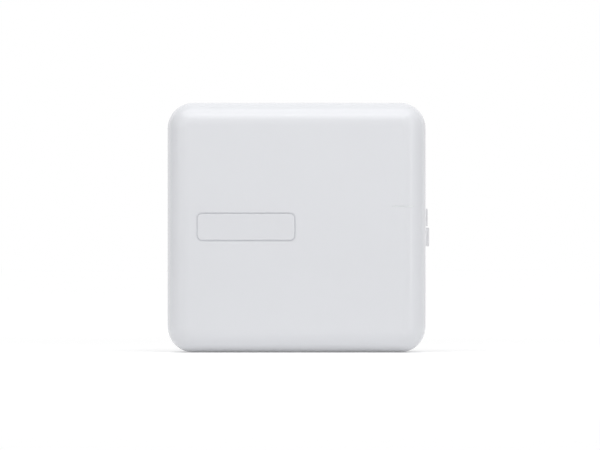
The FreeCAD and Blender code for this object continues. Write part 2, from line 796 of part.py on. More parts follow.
    through = ("-overrun", "wall + overrun")
    for number, (across, up) in enumerate(((1, 1), (-1, 1), (1, -1), (-1, -1))):
        x = f"{across} * mount_spacing_x / 2"
        z = f"{up} * mount_spacing_z / 2"
        bores.append(rod(f"mount_hole_{number}", "depth", "mount_hole_radius", through, x=x, z=z))
    entry = around("entry_level", "entry_height")
    bores.append(block("cable_entry", around("0", "entry_width"), through, entry))
    for number in range(KNOCKOUTS):
        at = {"x": f"{number - (KNOCKOUTS - 1) / 2} * knockout_spacing", "z": "knockout_level"}
        sunk = ("-overrun", "knockout_sink")
        disc = rod(f"knockout_disc_{number}", "depth", "knockout_radius + knockout_groove", sunk, **at)
        core = rod(f"knockout_core_{number}", "depth", "knockout_radius", sunk, **at)
        bores.append(cut(f"knockout_groove_{number}", disc, [core]))
    return cut("back_box", fuse("back_form", added), bores)


def outer_form(name):
    """A body with the solid outer form of the cover."""
    body = doc.addObject("PartDesign::Body", name)
    outline = ("case_width", "case_height", "corner_radius")
    outside = pad(body, f"{name}_block", COVER_REAR, f"case_depth - {COVER_REAR}", [outline])
    rounded = fillet(body, f"{name}_edge", outside, "front_radius", at_depth("case_depth"))
    return body, rounded


def within(name, item):
    """An item cut back to the outer form of the cover."""
    common = doc.addObject("Part::Common", name)
    common.Base = item
    common.Tool = COVER_FORM
    return common


def front_cover():
    """The moulded cover: shell, knuckles, light collar, ribs, tamper post and screw tab."""
    shell, rounded = outer_form("cover_shell")
    rear = -size(COVER_REAR)
    faces = enumerate(rounded.Shape.Faces, start=1)
    open_side = [f"Face{number}" for number, face in faces if abs(face.BoundBox.YMin - rear) < 1e-4]
    hollow = shell.newObject("PartDesign::Thickness", "cover_hollow")
    hollow.Base = (rounded, open_side)
    hollow.Reversed = True
    hollow.setExpression("Value", bound("wall"))
    doc.recompute()

    added = [shell]
    bores = []
    web_depth = around(PIVOT_DEPTH, "2 * hinge_eye_radius")
    for number, sign in enumerate(("", "-")):
        ends = [
            f"{sign}hinge_level + hinge_arm_thickness / 2 + knuckle_gap",
            f"{sign}hinge_level - hinge_arm_thickness / 2 - knuckle_gap - knuckle_length",
        ]
        for side, start in enumerate(ends):
            span = (start, f"{start} + knuckle_length")
            name = f"{number}_{side}"
            web = (f"-{INNER_X} - wall / 2", PIVOT_X)
            added.append(block(f"knuckle_web_{name}", web, web_depth, span))
            knuckle = rod(f"knuckle_{name}", "z", "hinge_eye_radius", span, x=PIVOT_X, depth=PIVOT_DEPTH)
            added.append(knuckle)
        span = around(f"{sign}hinge_level", "hinge_arm_thickness * 6")
        bores.append(rod(f"knuckle_bore_{number}", "z", PIN_BORE, span, x=PIVOT_X, depth=PIVOT_DEPTH))

    margin = "light_clearance + light_collar_wall"
    collar_x = around("light_x", f"light_width + 2 * ({margin})")
    collar_z = around("light_offset_z", f"light_thickness + 2 * ({margin})")
    collar_depth = (f"{COVER_INSIDE} - light_collar", "case_depth - wall / 2")
    collar = block("light_collar_block", collar_x, collar_depth, collar_z)
    added.append(within("light_collar", collar))
    slit_x = around("light_x", "light_width + 2 * light_clearance")
    slit_z = around("light_offset_z", "light_thickness + 2 * light_clearance")
    slit_depth = (f"{COVER_INSIDE} - light_collar - overrun", "case_depth + overrun")
    bores.append(block("light_slit", slit_x, slit_depth, slit_z))

    rib_depth = (f"{COVER_INSIDE} - cover_rib_rise", f"{COVER_INSIDE} + wall / 4")
    tall = around("0", "case_height - 2 * cover_rib_inset")
    broad = around("0", "case_width - 2 * cover_rib_inset")
    for number, steps in enumerate((-1, 0, 1)):
        x = around(f"{steps} * cover_rib_spacing", "cover_rib")
        added.append(block(f"cover_upright_rib_{number}", x, rib_depth, tall))
    for number, steps in enumerate((-1, 1)):
        z = around(f"{steps} * cover_rib_spacing", "cover_rib")
        added.append(block(f"cover_level_rib_{number}", broad, rib_depth, z))

    post = (TAMPER_POST_END, "case_depth - wall / 2")
    added.append(rod("tamper_post", "depth", "tamper_post_radius", post, x="tamper_x", z="tamper_offset_z"))

    tab_z = around("lock_level", "lock_tab_width")
    arm_start = f"{COVER_REAR} + rim_height + lock_arm_lift"
    arm = (arm_start, f"{arm_start} + lock_arm_thickness")
    added.append(block("lock_arm", (LOCK_TAB_LEFT, "case_width / 2 - wall / 2"), arm, tab_z))
    tab_depth = (f"{COVER_REAR} - lock_tab_reach", arm[1])
    added.append(block("lock_tab", (LOCK_TAB_LEFT, LOCK_TAB_RIGHT), tab_depth, tab_z))
    notch_x = (f"{LOCK_TAB_LEFT} - overrun", f"{LOCK_TAB_RIGHT} + lock_tab_gap / 2")
    notch_depth = (f"{COVER_REAR} - lock_tab_reach - overrun", "lock_depth")
    bores.append(block("lock_notch_sides", notch_x, notch_depth, around("lock_level", "2 * lock_notch")))
    bores.append(rod("lock_notch_end", "x", "lock_notch", notch_x, depth="lock_depth", z="lock_level"))

    plate = doc.addObject("PartDesign::Body", "plate_recess")
    outline = (
        "plate_width + 2 * plate_groove",
        "plate_height + 2 * plate_groove",
        "plate_radius + plate_groove",
        "plate_x",
        "plate_offset_z",
    )
    pad(plate, "plate_recess_block", "case_depth - plate_thickness", "plate_thickness + overrun", [outline])
    bores.append(plate)

    outer = ("-case_width / 2 - overrun", PIVOT_X)
    behind = (f"{COVER_REAR} - overrun", PIVOT_DEPTH)
    corner = block("hinge_corner", outer, behind, ("-case_height / 2", "case_height / 2"))
    full = ("-case_height / 2 - overrun", "case_height / 2 + overrun")
    turned = rod("hinge_sweep", "z", "hinge_inset", full, x=PIVOT_X, depth=PIVOT_DEPTH)
    bores.append(cut("hinge_relief", corner, [turned]))
    return cut("front_cover", fuse("cover_form", added), bores)


def name_plate():
    """The bare plate in its recess, with a softened edge."""
    body = doc.addObject("PartDesign::Body", "name_plate")
    outline = ("plate_width", "plate_height", "plate_radius", "plate_x", "plate_offset_z")
    base = pad(body, "name_plate_block", "case_depth - plate_thickness", "plate_thickness", [outline])
    fillet(body, "name_plate_edge", base, "plate_edge", at_depth("case_depth"))
    return body


def status_light():
    """The blade that brings light from the key board's lamps to the front, and the lamps."""
    x = around("light_x", "light_width")
    z = around("light_offset_z", "light_thickness")
    rear = f"{KEY_BOARD_FRONT} + lamp_height + lamp_gap"
    tail = block("light_guide_tail", x, (rear, f"{COVER_REAR} + overrun"), z)
    front = within("light_guide_front", block("light_guide_block", x, (COVER_REAR, "case_depth"), z))
    guide = fuse("status_light_guide", [tail, front])
    lamps = []
    for number, sign in enumerate(("-", "+")):
        middle = f"light_x {sign} lamp_spacing / 2"
        depth = (KEY_BOARD_FRONT, f"{KEY_BOARD_FRONT} + lamp_height")
        lamp_z = around("light_offset_z", "lamp_size")
        lamps.append(block(f"lamp_{number}", around(middle, "lamp_size"), depth, lamp_z))
    return [guide, group("status_lamps", lamps)]


def hinge_pins():
    """Two steel pins, each through its arm and both knuckles."""
    pins = []
    reach = "hinge_arm_thickness / 2 + knuckle_gap + knuckle_length"
    for number, sign in enumerate(("", "-")):
        span = (f"{sign}hinge_level - ({reach})", f"{sign}hinge_level + ({reach})")
        pins.append(rod(f"hinge_pin_{number}", "z", "pin_radius", span, x=PIVOT_X, depth=PIVOT_DEPTH))
    return group("hinge_pins", pins)


def cover_screw():
    """The screw that clamps the cover's tab, sunk in the right side."""
    lock = {"depth": "lock_depth", "z": "lock_level"}
    head = rod("lock_head", "x", "lock_head_radius", (LOCK_SEAT, f"{LOCK_SEAT} + lock_head_height"), **lock)
    along = (f"{LOCK_SEAT} - lock_screw_length", LOCK_SEAT)
    shank = rod("lock_shank", "x", "lock_screw_radius", along, **lock)
    sunk = (f"{LOCK_SEAT} + lock_head_height / 2", f"{LOCK_SEAT} + lock_head_height + overrun")
    arm = "lock_cross_share * lock_head_radius"
    wide = "lock_cross_width"
    slots = [
        block("lock_cross_0", sunk, around("lock_depth", arm), around("lock_level", wide)),
        block("lock_cross_1", sunk, around("lock_depth", wide), around("lock_level", arm)),
    ]
    return cut("cover_screw", fuse("cover_screw_form", [head, shank]), slots)


def side_key(name, level, middle, proud):
    """A key in the right wall: rounded head, stop flange and stem."""
    body = doc.addObject("PartDesign::Body", name)
    depth = around("key_depth", "key_width")
    flange_face = f"{INNER_X} - key_stop_gap"
    head = (flange_face, f"case_width / 2 + {proud}")
    base = block(f"{name}_head", head, depth, level, body)
    outer = size(head[1])
    fillet(body, f"{name}_edges", base, "key_edge", lambda box: abs(box.XMin - outer) < 1e-4)
    flange_depth = around("key_depth", "key_width + 2 * key_flange_margin")
    flange_z = (f"{level[0]} - key_flange_margin", f"{level[1]} + key_flange_margin")
    block(f"{name}_flange", (f"{flange_face} - key_flange", flange_face), flange_depth, flange_z, body)
    tip = "switch_right + plunger_reach + key_stop_gap"
    stem = (tip, f"{flange_face} - key_flange")
    block(f"{name}_stem", stem, around("key_depth", "key_stem"), around(middle, "key_stem"), body)
    doc.recompute()
    return body


def key_parts():
    """The key board with its side-acting switches and their plungers."""
    board_x = ("key_board_left", "key_board_left + key_board_width")
    board_z = ("key_board_bottom", "key_board_bottom + key_board_height")
    plate = block("key_board_plate", board_x, (KEY_BOARD_REAR, KEY_BOARD_FRONT), board_z)
    holes = []
    screws = []
    for number, (x, z) in enumerate(KEY_BOARD_PILLARS):
        span = (f"{KEY_BOARD_REAR} - overrun", f"{KEY_BOARD_FRONT} + overrun")
        holes.append(rod(f"key_board_hole_{number}", "depth", SCREW_HOLE, span, x=x, z=z))
        screws.append(screw(f"key_board_screw_{number}", x, KEY_BOARD_FRONT, z))
    made = [cut("key_board", plate, holes), group("key_board_screws", screws)]

    switches = []
    levels = {"upper": UPPER_KEY_LEVEL, "lower": LOWER_KEY_LEVEL}
    for word, level in levels.items():
        depth = (KEY_BOARD_FRONT, f"{KEY_BOARD_FRONT} + switch_size")
        x = ("switch_right - switch_length", "switch_right")
        housing = block(f"switch_housing_{word}", x, depth, around(level, "switch_size"))
        floor = "switch_right - plunger_tail - plunger_stroke - plunger_spare"
        well = (floor, "switch_right + overrun")
        bore = "plunger_radius + plunger_clearance"
        hole = rod(f"switch_well_{word}", "x", bore, well, depth="key_depth", z=level)
        switches.append(cut(f"key_switch_{word}", housing, [hole]))
        reach = ("switch_right - plunger_tail", "switch_right + plunger_reach")
        made.append(rod(f"key_plunger_{word}", "x", "plunger_radius", reach, depth="key_depth", z=level))
    made.append(group("key_switches", switches))

    x = around("tamper_x", "tamper_size")
    z = around("tamper_offset_z", "tamper_size")
    housing = block("tamper_housing", x, (KEY_BOARD_FRONT, f"{KEY_BOARD_FRONT} + tamper_height"), z)
    well = (f"{KEY_BOARD_FRONT} + tamper_floor", f"{KEY_BOARD_FRONT} + tamper_height + overrun")
    bore = "plunger_radius + plunger_clearance"
    at = {"x": "tamper_x", "z": "tamper_offset_z"}
    made.append(cut("tamper_switch", housing, [rod("tamper_well", "depth", bore, well, **at)]))
    span = (f"{TAMPER_REST} - tamper_plunger_length", TAMPER_REST)
    made.append(rod("tamper_plunger", "depth", "plunger_radius", span, **at))
    return made


def main_board():
    """The main board on its pillars, with its screws."""
    plate = block(
        "main_board_plate",
        ("board_left", BOARD_RIGHT),
        (BOARD_REAR, BOARD_FRONT),
        ("board_bottom", BOARD_TOP),
    )
    holes = []
    screws = []
    for number, (x, z) in enumerate(BOARD_PILLARS):
        span = (f"{BOARD_REAR} - overrun", f"{BOARD_FRONT} + overrun")
        holes.append(rod(f"main_board_hole_{number}", "depth", SCREW_HOLE, span, x=x, z=z))
        screws.append(screw(f"board_screw_{number}", x, BOARD_FRONT, z))
    return [cut("main_board", plate, holes), group("board_screws", screws)]


def terminal_strip(name, left, count):
    """A row of screw terminals along the board's top edge, and its screws."""
    top = f"{BOARD_TOP} - terminal_inset"
    bottom = TERMINALS_BOTTOM
    front = f"{BOARD_FRONT} + terminal_height"
    x = (left, f"{left} + terminal_pitch * {count}")
    base = block(f"{name}_block", x, (BOARD_FRONT, front), (bottom, top))
    wells = []
    screws = []
    for number in range(count):
        middle = f"{left} + terminal_pitch * {number + 0.5}"
        hole_depth = around(f"{BOARD_FRONT} + wire_hole", "wire_hole")
        hole_z = (f"{top} - wire_hole_depth", f"{top} + overrun")
        wells.append(block(f"{name}_wire_{number}", around(middle, "wire_hole"), hole_depth, hole_z))
        at = {"x": middle, "z": f"{bottom} + terminal_screw_inset"}
        seat = f"{front} - terminal_screw_sink - terminal_screw_height"
        bore = "terminal_screw_radius + terminal_screw_clearance"
        wells.append(rod(f"{name}_well_{number}", "depth", bore, (seat, f"{front} + overrun"), **at))
        head = (seat, f"{seat} + terminal_screw_height")
        screws.append(rod(f"{name}_screw_{number}", "depth", "terminal_screw_radius", head, **at))
    return cut(name, base, wells), screws


def on_board(name, across, up, width, length, rise):
    """A plain component that stands on the board, its middle measured from the board's corner."""
    x = around(f"board_left + {across}", width)
    z = around(f"board_bottom + {up}", length)
    return block(name, x, (BOARD_FRONT, f"{BOARD_FRONT} + {rise}"), z)


def round_on_board(name, across, up, radius, rise, start="0"):
    """A round component on the board, from a height above it to another."""
    span = (f"{BOARD_FRONT} + {start}", f"{BOARD_FRONT} + {rise}")
    return rod(name, "depth", radius, span, x=f"board_left + {across}", z=f"board_bottom + {up}")


def small_parts():
    """Relays, capacitors, chips, buzzer and status LEDs."""
    relays = []
    form = ("relay_width", "relay_length", "relay_rise")
    for number in range(2):
        across = f"relay_across + {number} * relay_spacing"
        relays.append(on_board(f"relay_{number}", across, "relay_up", *form))
    made = [group("relays", relays)]

    across, up = "capacitor_across", "capacitor_up"
    capacitors = [round_on_board("capacitor_large", across, up, "capacitor_radius", "capacitor_rise")]
    for number in range(SMALL_CAPACITORS):
        across = f"small_capacitor_across + {number} * small_capacitor_spacing"
        up, rise = "small_capacitor_up", "small_capacitor_rise"
        capacitors.append(round_on_board(f"capacitor_{number}", across, up, "small_capacitor_radius", rise))
    made.append(group("capacitors", capacitors))

    chip = "processor_size"
    chips = [on_board("processor", "processor_across", "processor_up", chip, chip, "chip_rise")]
    for number in range(2):
        up = f"memory_up + {number} * memory_spacing"
        chips.append(
            on_board(f"memory_{number}", "memory_across", up, "memory_width", "memory_length", "chip_rise")
        )
    made.append(group("board_chips", chips))

    made.append(round_on_board("buzzer", "buzzer_across", "buzzer_up", "buzzer_radius", "buzzer_rise"))
    leds = []
    for number in range(STATUS_LEDS):
        across = f"led_across + {number} * led_spacing"
        leds.append(round_on_board(f"status_led_{number}", across, "led_up", "led_radius", "led_rise"))
    made.append(group("status_leds", leds))
    return made


def network_jack():
    """The network jack at the board's right edge, with its shallow mouth."""
    x = (f"{BOARD_RIGHT} - jack_size", BOARD_RIGHT)
    z = around("board_bottom + jack_up", "jack_size")
    housing = block("network_jack_block", x, (BOARD_FRONT, f"{BOARD_FRONT} + jack_rise"), z)
    mouth = block(
        "network_jack_mouth",
        (f"{BOARD_RIGHT} - jack_sink", f"{BOARD_RIGHT} + overrun"),
        (f"{BOARD_FRONT} + jack_wall", f"{BOARD_FRONT} + jack_rise - jack_wall"),
        around("board_bottom + jack_up", "jack_size - 2 * jack_wall"),
    )
    return cut("network_jack", housing, [mouth])


def board_fuses():
    """Two glass fuses, each in a pair of clips."""
    clips = []
    fuses = []
    axis_depth = f"{BOARD_FRONT} + fuse_axis_rise"
    middle = "board_left + fuse_across"
    for number in range(2):
        level = f"board_bottom + fuse_up + {number} * fuse_spacing"
        for side, sign in enumerate(("-", "+")):
            x = f"{middle} {sign} (fuse_length - clip_width) / 2"
            name = f"{number}_{side}"
            depth = (BOARD_FRONT, f"{BOARD_FRONT} + clip_rise")
            clip_z = around(level, "clip_length")
            holder = block(f"fuse_clip_block_{name}", around(x, "clip_width"), depth, clip_z)
            beyond = around(x, "clip_width + 2 * overrun")
            seat = rod(f"fuse_seat_{name}", "x", "fuse_radius + clip_gap", beyond, depth=axis_depth, z=level)
            mouth_depth = (axis_depth, f"{BOARD_FRONT} + clip_rise + overrun")
            mouth = block(f"fuse_mouth_{name}", beyond, mouth_depth, around(level, "clip_mouth"))
            clips.append(cut(f"fuse_clip_{name}", holder, [seat, mouth]))
        span = around(middle, "fuse_length")
        fuses.append(rod(f"fuse_{number}", "x", "fuse_radius", span, depth=axis_depth, z=level))
    return [group("fuse_clips", clips), group("board_fuses", fuses)]


def radio():
    """The radio module on its header, with its can and aerial."""
    rear = f"({BOARD_FRONT} + module_standoff)"
    front = f"({rear} + module_thickness)"
    x = ("module_left", "module_left + module_width")
    z = ("module_bottom", "module_bottom + module_height")
    made = [block("radio_module", x, (rear, front), z)]
    header_x = around("module_left + module_width / 2", "header_width")
    header_bottom = "module_bottom + header_inset"
    header_z = (header_bottom, f"{header_bottom} + header_height")
    made.append(block("module_header", header_x, (BOARD_FRONT, rear), header_z))
    can_x = around("module_left + module_width / 2", "can_width")
    can_z = around("module_bottom + module_height / 2", "module_height / 2")
    made.append(block("radio_can", can_x, (front, f"{front} + can_rise"), can_z))
    at = {"x": "module_left + 2 * antenna_radius", "z": "module_bottom + module_height - 2 * antenna_radius"}
    made.append(rod("radio_antenna", "depth", "antenna_radius", (front, f"{front} + antenna_length"), **at))
    return made


def clock_cell():
    """The clock's button cell in its round holder."""
    at = ("cell_across", "cell_up")
    top = "cell_holder_floor + cell_rise"
    outer = "cell_radius + cell_clearance + cell_holder_wall"
    ring = round_on_board("cell_holder_ring", *at, outer, top)
    bore = "cell_radius + cell_clearance"
    well = round_on_board("cell_well", *at, bore, f"{top} + overrun", "cell_holder_floor")
    cell = round_on_board("clock_cell", *at, "cell_radius", top, "cell_holder_floor")
    return [cut("clock_cell_holder", ring, [well]), cell]


def heat_sink():
    """The finned heat sink and the regulator that is screwed to it."""
    fins = [on_board("heat_sink_plate", "sink_across", "sink_up", "sink_plate", "sink_length", "sink_rise")]
    left = "board_left + sink_across - sink_plate / 2"
    depth = (f"{BOARD_FRONT} + fin_lift", f"{BOARD_FRONT} + sink_rise")
    for number in range(HEAT_SINK_FINS):
        share = number / (HEAT_SINK_FINS - 1) - 0.5
        level = f"board_bottom + sink_up + (sink_length - fin_thickness) * {share}"
        x = (f"{left} - fin_reach", f"{left} + sink_plate / 2")
        fins.append(block(f"heat_sink_fin_{number}", x, depth, around(level, "fin_thickness")))
    right = f"{left} + sink_plate"
    regulator = block(
        "regulator",
        (right, f"{right} + regulator_thickness"),
        (BOARD_FRONT, f"{BOARD_FRONT} + regulator_rise"),
        around("board_bottom + sink_up", "regulator_width"),
    )
    return [fuse("heat_sink", fins), regulator]


def board_parts():
    """What is soldered or plugged to the main board."""
    zone, zone_screws = terminal_strip("zone_terminals", "zone_left", ZONE_COUNT)
    output, output_screws = terminal_strip("output_terminals", "output_left", OUTPUT_COUNT)
    made = [zone, output, group("terminal_screws", zone_screws + output_screws)]
    made += [*small_parts(), network_jack(), *board_fuses(), *radio(), *clock_cell(), *heat_sink()]

    tabs = []
    depth = (BOARD_FRONT, f"{BOARD_FRONT} + blade_height")
    for number, x in enumerate(TAB_X):
        tab_z = around(TAB_LEVEL, "blade_width")
        tabs.append(block(f"battery_tab_{number}", around(x, "blade_thickness"), depth, tab_z))
    made.append(group("battery_tabs", tabs))

    wide, high, rise = "socket_width", "socket_length", "socket_rise"
    sockets = [
        on_board("socket_supply", "supply_socket_across", "supply_socket_up", wide, high, rise),
        on_board("socket_keys", "key_socket_across", "key_socket_up", wide, high, rise),
        block(
            "socket_key_board",
            around("key_board_left + key_lead_across", wide),
            (KEY_BOARD_FRONT, f"{KEY_BOARD_FRONT} + {rise}"),
            around("key_board_bottom + key_lead_up", high),
        ),
    ]
    made.append(group("lead_sockets", sockets))
    return made


def battery():
    """The sealed battery, its lid, terminals and the bracket that holds it."""
    x = ("battery_left", BATTERY_RIGHT)
    depth = (BATTERY_REAR, BATTERY_FRONT)
    case_top = "battery_bottom + battery_height"
    case = rounded_block("battery_case", x, depth, ("battery_bottom", case_top), "battery_edge", upright)
    lid = rounded_block("battery_lid", x, depth, (case_top, BATTERY_TOP), "battery_edge", upright)
    blades = []
    for number, middle in enumerate(BLADE_X):
        blade_z = (BATTERY_TOP, f"{BATTERY_TOP} + blade_height")
        blade_depth = around("blade_depth", "blade_thickness")
        blades.append(block(f"battery_blade_{number}", around(middle, "blade_width"), blade_depth, blade_z))
    made = [case, lid, group("battery_terminals", blades)]

    z = around("bracket_level", "bracket_height")
    thick = "bracket_thickness"
    front = f"{BATTERY_FRONT} + bracket_clearance"
    left = "battery_left - bracket_clearance"
    right = f"{BATTERY_RIGHT} + bracket_clearance"
    seat_end = f"{BRACKET_SEAT} + {thick}"
    bar = (f"{left} - {thick}", f"{right} + {thick}")
    walls = [
        block("bracket_bar", bar, (front, f"{front} + {thick}"), z),
        block("bracket_leg_0", (f"{left} - {thick}", left), (BRACKET_SEAT, front), z),
        block("bracket_leg_1", (right, f"{right} + {thick}"), (BRACKET_SEAT, front), z),
        block("bracket_foot_0", (f"{left} - {thick} - bracket_foot", left), (BRACKET_SEAT, seat_end), z),
        block("bracket_foot_1", (right, f"{right} + {thick} + bracket_foot"), (BRACKET_SEAT, seat_end), z),
    ]
    holes = []
    screws = []
    for number, middle in enumerate(BRACKET_POSTS):
        span = (f"{BRACKET_SEAT} - overrun", f"{seat_end} + overrun")
        at = {"x": middle, "z": "bracket_level"}
        holes.append(rod(f"bracket_hole_{number}", "depth", SCREW_HOLE, span, **at))
        screws.append(screw(f"bracket_screw_{number}", middle, seat_end, "bracket_level"))
    made.append(cut("battery_bracket", fuse("battery_bracket_form", walls), holes))
    made.append(group("bracket_screws", screws))
    return made


def transformer():
    """The transformer: laminated core, bobbin, taped coil, strap and screws."""
    z = around("core_level", "core_length")
    x = around("core_x", "core_stack")
    core = block("core_block", x, (CORE_REAR, CORE_FRONT), z)
    windows = []
    beyond = around("core_x", "core_stack + 2 * overrun")
    limb = "core_limb"
    for number, sign in enumerate(("+", "-")):
        middle = f"core_level {sign} core_length / 4"
        window_z = around(middle, f"core_length / 2 - 2 * {limb}")
        window_depth = (f"{CORE_REAR} + {limb}", f"{CORE_FRONT} - {limb}")
        windows.append(block(f"core_window_{number}", beyond, window_depth, window_z))
    made = [cut("transformer_core", core, windows)]

    inner_z = f"2 * {limb} + 2 * coil_clearance"
    outer_z = f"core_length - 2 * {limb} - 2 * coil_clearance"
    tube_depth = (f"{CORE_REAR} + {limb} + coil_clearance", f"{CORE_FRONT} - {limb} - coil_clearance")
    flange = "bobbin_flange"
    wide = around("core_x", "core_stack + 2 * coil_overhang")
    inner_x = around("core_x", "core_stack + 2 * coil_clearance")
    flanges = []
    for number, (start, end) in enumerate(
        ((tube_depth[0], f"{tube_depth[0]} + {flange}"), (f"{tube_depth[1]} - {flange}", tube_depth[1]))
    ):
        flanges.append(block(f"bobbin_flange_{number}", wide, (start, end), around("core_level", outer_z)))
    wall_z = around("core_level", f"{inner_z} + 2 * {flange}")
    wall_x = around("core_x", f"core_stack + 2 * coil_clearance + 2 * {flange}")
    tube = block("bobbin_tube", wall_x, tube_depth, wall_z)
    through = (f"{tube_depth[0]} - overrun", f"{tube_depth[1]} + overrun")
    hole = block("bobbin_hole", inner_x, through, around("core_level", inner_z))
    made.append(cut("transformer_bobbin", fuse("bobbin_form", flanges + [tube]), [hole]))

    coil_depth = (f"{tube_depth[0]} + {flange}", f"{tube_depth[1]} - {flange}")
    coil_x = around("core_x", "core_stack + 2 * (coil_overhang - coil_setback)")
    coil_z = around("core_level", f"{outer_z} - coil_setback")
    winding = rounded_block("coil_block", coil_x, coil_depth, coil_z, "coil_edge", along_depth)
    space = block("coil_space", wall_x, (f"{coil_depth[0]} - overrun", f"{coil_depth[1]} + overrun"), wall_z)
    made.append(cut("transformer_coil", winding, [space]))

    strap_x = around("core_x", "strap_width")
    top = "core_level + core_length / 2"
    bottom = "core_level - core_length / 2"
    thick = "strap_thickness"
    foot_depth = (CORE_REAR, f"{CORE_REAR} + {thick}")
    bar_z = (f"{bottom} - {thick}", f"{top} + {thick}")
    walls = [
        block("strap_bar", strap_x, (CORE_FRONT, f"{CORE_FRONT} + {thick}"), bar_z),
        block("strap_leg_0", strap_x, (CORE_REAR, CORE_FRONT), (top, f"{top} + {thick}")),
        block("strap_leg_1", strap_x, (CORE_REAR, CORE_FRONT), (f"{bottom} - {thick}", bottom)),
        block("strap_foot_0", strap_x, foot_depth, (top, f"{top} + {thick} + strap_foot")),
        block("strap_foot_1", strap_x, foot_depth, (f"{bottom} - {thick} - strap_foot", bottom)),
    ]
    holes = []
    screws = []
    for number, level in enumerate(STRAP_SCREWS):
        span = (f"{CORE_REAR} - overrun", f"{CORE_REAR} + {thick} + overrun")
        holes.append(rod(f"strap_hole_{number}", "depth", SCREW_HOLE, span, x="core_x", z=level))
        screws.append(screw(f"strap_screw_{number}", "core_x", f"{CORE_REAR} + {thick}", level))
    made.append(cut("transformer_strap", fuse("strap_form", walls), holes))
    made.append(group("transformer_screws", screws))
    return made


def mains_terminal():
    """The three-pole mains terminal block on the back wall, and its screws."""
    x = ("mains_left", f"mains_left + mains_pitch * {MAINS_POLES}")
    top = "mains_bottom + mains_length"
    front = "wall + mains_height"
    base = block("mains_block", x, ("wall", front), ("mains_bottom", top))
    wells = []
    screws = []
    for number in range(MAINS_POLES):
        middle = f"mains_left + mains_pitch * {number + 0.5}"
        at = {"x": middle, "z": "mains_bottom + mains_length / 2"}
        seat = f"{front} - 2 * mains_screw_sink"
        bore = "mains_screw_radius + mains_screw_clearance"
        wells.append(rod(f"mains_well_{number}", "depth", bore, (seat, f"{front} + overrun"), **at))
        span = (seat, f"{seat} + mains_screw_sink")
        screws.append(rod(f"mains_screw_{number}", "depth", "mains_screw_radius", span, **at))
        wire_z = (f"{top} - wire_hole_depth", f"{top} + overrun")
        wire_depth = around("wall + mains_height / 3", "wire_hole")
        wells.append(block(f"mains_wire_{number}", around(middle, "wire_hole"), wire_depth, wire_z))
    return [cut("mains_terminal", base, wells), group("mains_terminal_screws", screws)]


def sleeves(name, blade_x, tab_x):
    """The two push-on sleeves of a battery lead: on the battery's blade and on the board's tab."""
    gap = "sleeve_clearance"
    wide, thin = "sleeve_width", "sleeve_thickness"
    low_z = (f"{BATTERY_TOP} + {gap}", SLEEVE_TOP)
    on_battery = block(f"{name}_low", around(blade_x, wide), around("blade_depth", thin), low_z)
    blade_slot = block(
        f"{name}_low_slot",
        around(blade_x, f"blade_width + 2 * {gap}"),
        around("blade_depth", f"blade_thickness + 2 * {gap}"),
        (BATTERY_TOP, f"{BATTERY_TOP} + blade_height + {gap}"),
    )
    high_depth = (f"{BOARD_FRONT} + {gap}", SLEEVE_FRONT)
    on_tab = block(f"{name}_high", around(tab_x, thin), high_depth, around(TAB_LEVEL, wide))
    tab_slot = block(
        f"{name}_high_slot",
        around(tab_x, f"blade_thickness + 2 * {gap}"),
        (BOARD_FRONT, f"{BOARD_FRONT} + blade_height + {gap}"),
        around(TAB_LEVEL, f"blade_width + 2 * {gap}"),
    )
    low = cut(f"{name}_battery", on_battery, [blade_slot])
    return group(name, [low, cut(f"{name}_board", on_tab, [tab_slot])])


def point(x, depth, z):
    """A point given by its distance in front of the wall."""
    return Vector(size(x), -size(depth), size(z))


def tube(name, radius, route):
    """A round lead along straight runs that tangent arcs join."""
    edges = []
    radii = []
    start = route[0]
    for before, corner, after in zip(route, route[1:], route[2:]):
        arrive, leave = corner - before, after - corner
        half_turn = arrive.getAngle(leave) / 2
        shorter = min(arrive.Length, leave.Length)
        reach = 0.45 * shorter
        radii.append(reach / math.tan(half_turn))
        first = corner - arrive.normalize() * reach
        last = corner + leave.normalize() * reach
        inward = ((first + last) * 0.5 - corner).normalize()
        middle = corner + inward * (radii[-1] / math.cos(half_turn) - radii[-1])
        edges.append(Part.LineSegment(start, first).toShape())
        edges.append(Part.Arc(first, middle, last).toShape())
        start = last
    edges.append(Part.LineSegment(start, route[-1]).toShape())
    path = Part.Wire(edges)
    section = Part.Wire(Part.Circle(route[0], route[1] - route[0], radius).toShape())
    shape = path.makePipeShell([section], True, False)
    expected = math.pi * radius**2 * path.Length
    if abs(shape.Volume - expected) > 0.01 * expected:
        raise ValueError(f"{name} has {shape.Volume:.1f} of {expected:.1f} cubic millimetres")
    print(name, "length", round(path.Length, 1), "radii", [round(radius, 1) for radius in radii])
    return shape


def lead(name, radius, routes):
    """One node of leads, each along its own route."""
    item = doc.addObject("Part::Feature", name)
    tubes = [tube(name, size(radius), route) for route in routes]
    item.Shape = tubes[0] if len(tubes) == 1 else Part.makeCompound(tubes)
    return item


def route(plug, first, last, socket, sags):
    """A lead's corners: out of one end, points that leave the direct line, and into the other end."""
    between = []
    for share, right, forward, up in sags:
        between.append(first + (last - first) * share + Vector(right, -forward, up))
    return [plug, first, *between, last, socket]


def battery_lead(blade_x, tab_x, sags):
    """The corners of a lead from a battery blade to its tab on the board."""
    return route(
        point(blade_x, "blade_depth", SLEEVE_TOP),
        point(blade_x, "blade_depth", f"{SLEEVE_TOP} + lead_run"),
        point(tab_x, f"{SLEEVE_FRONT} + lead_run", TAB_LEVEL),
        point(tab_x, SLEEVE_FRONT, TAB_LEVEL),
        sags,
    )


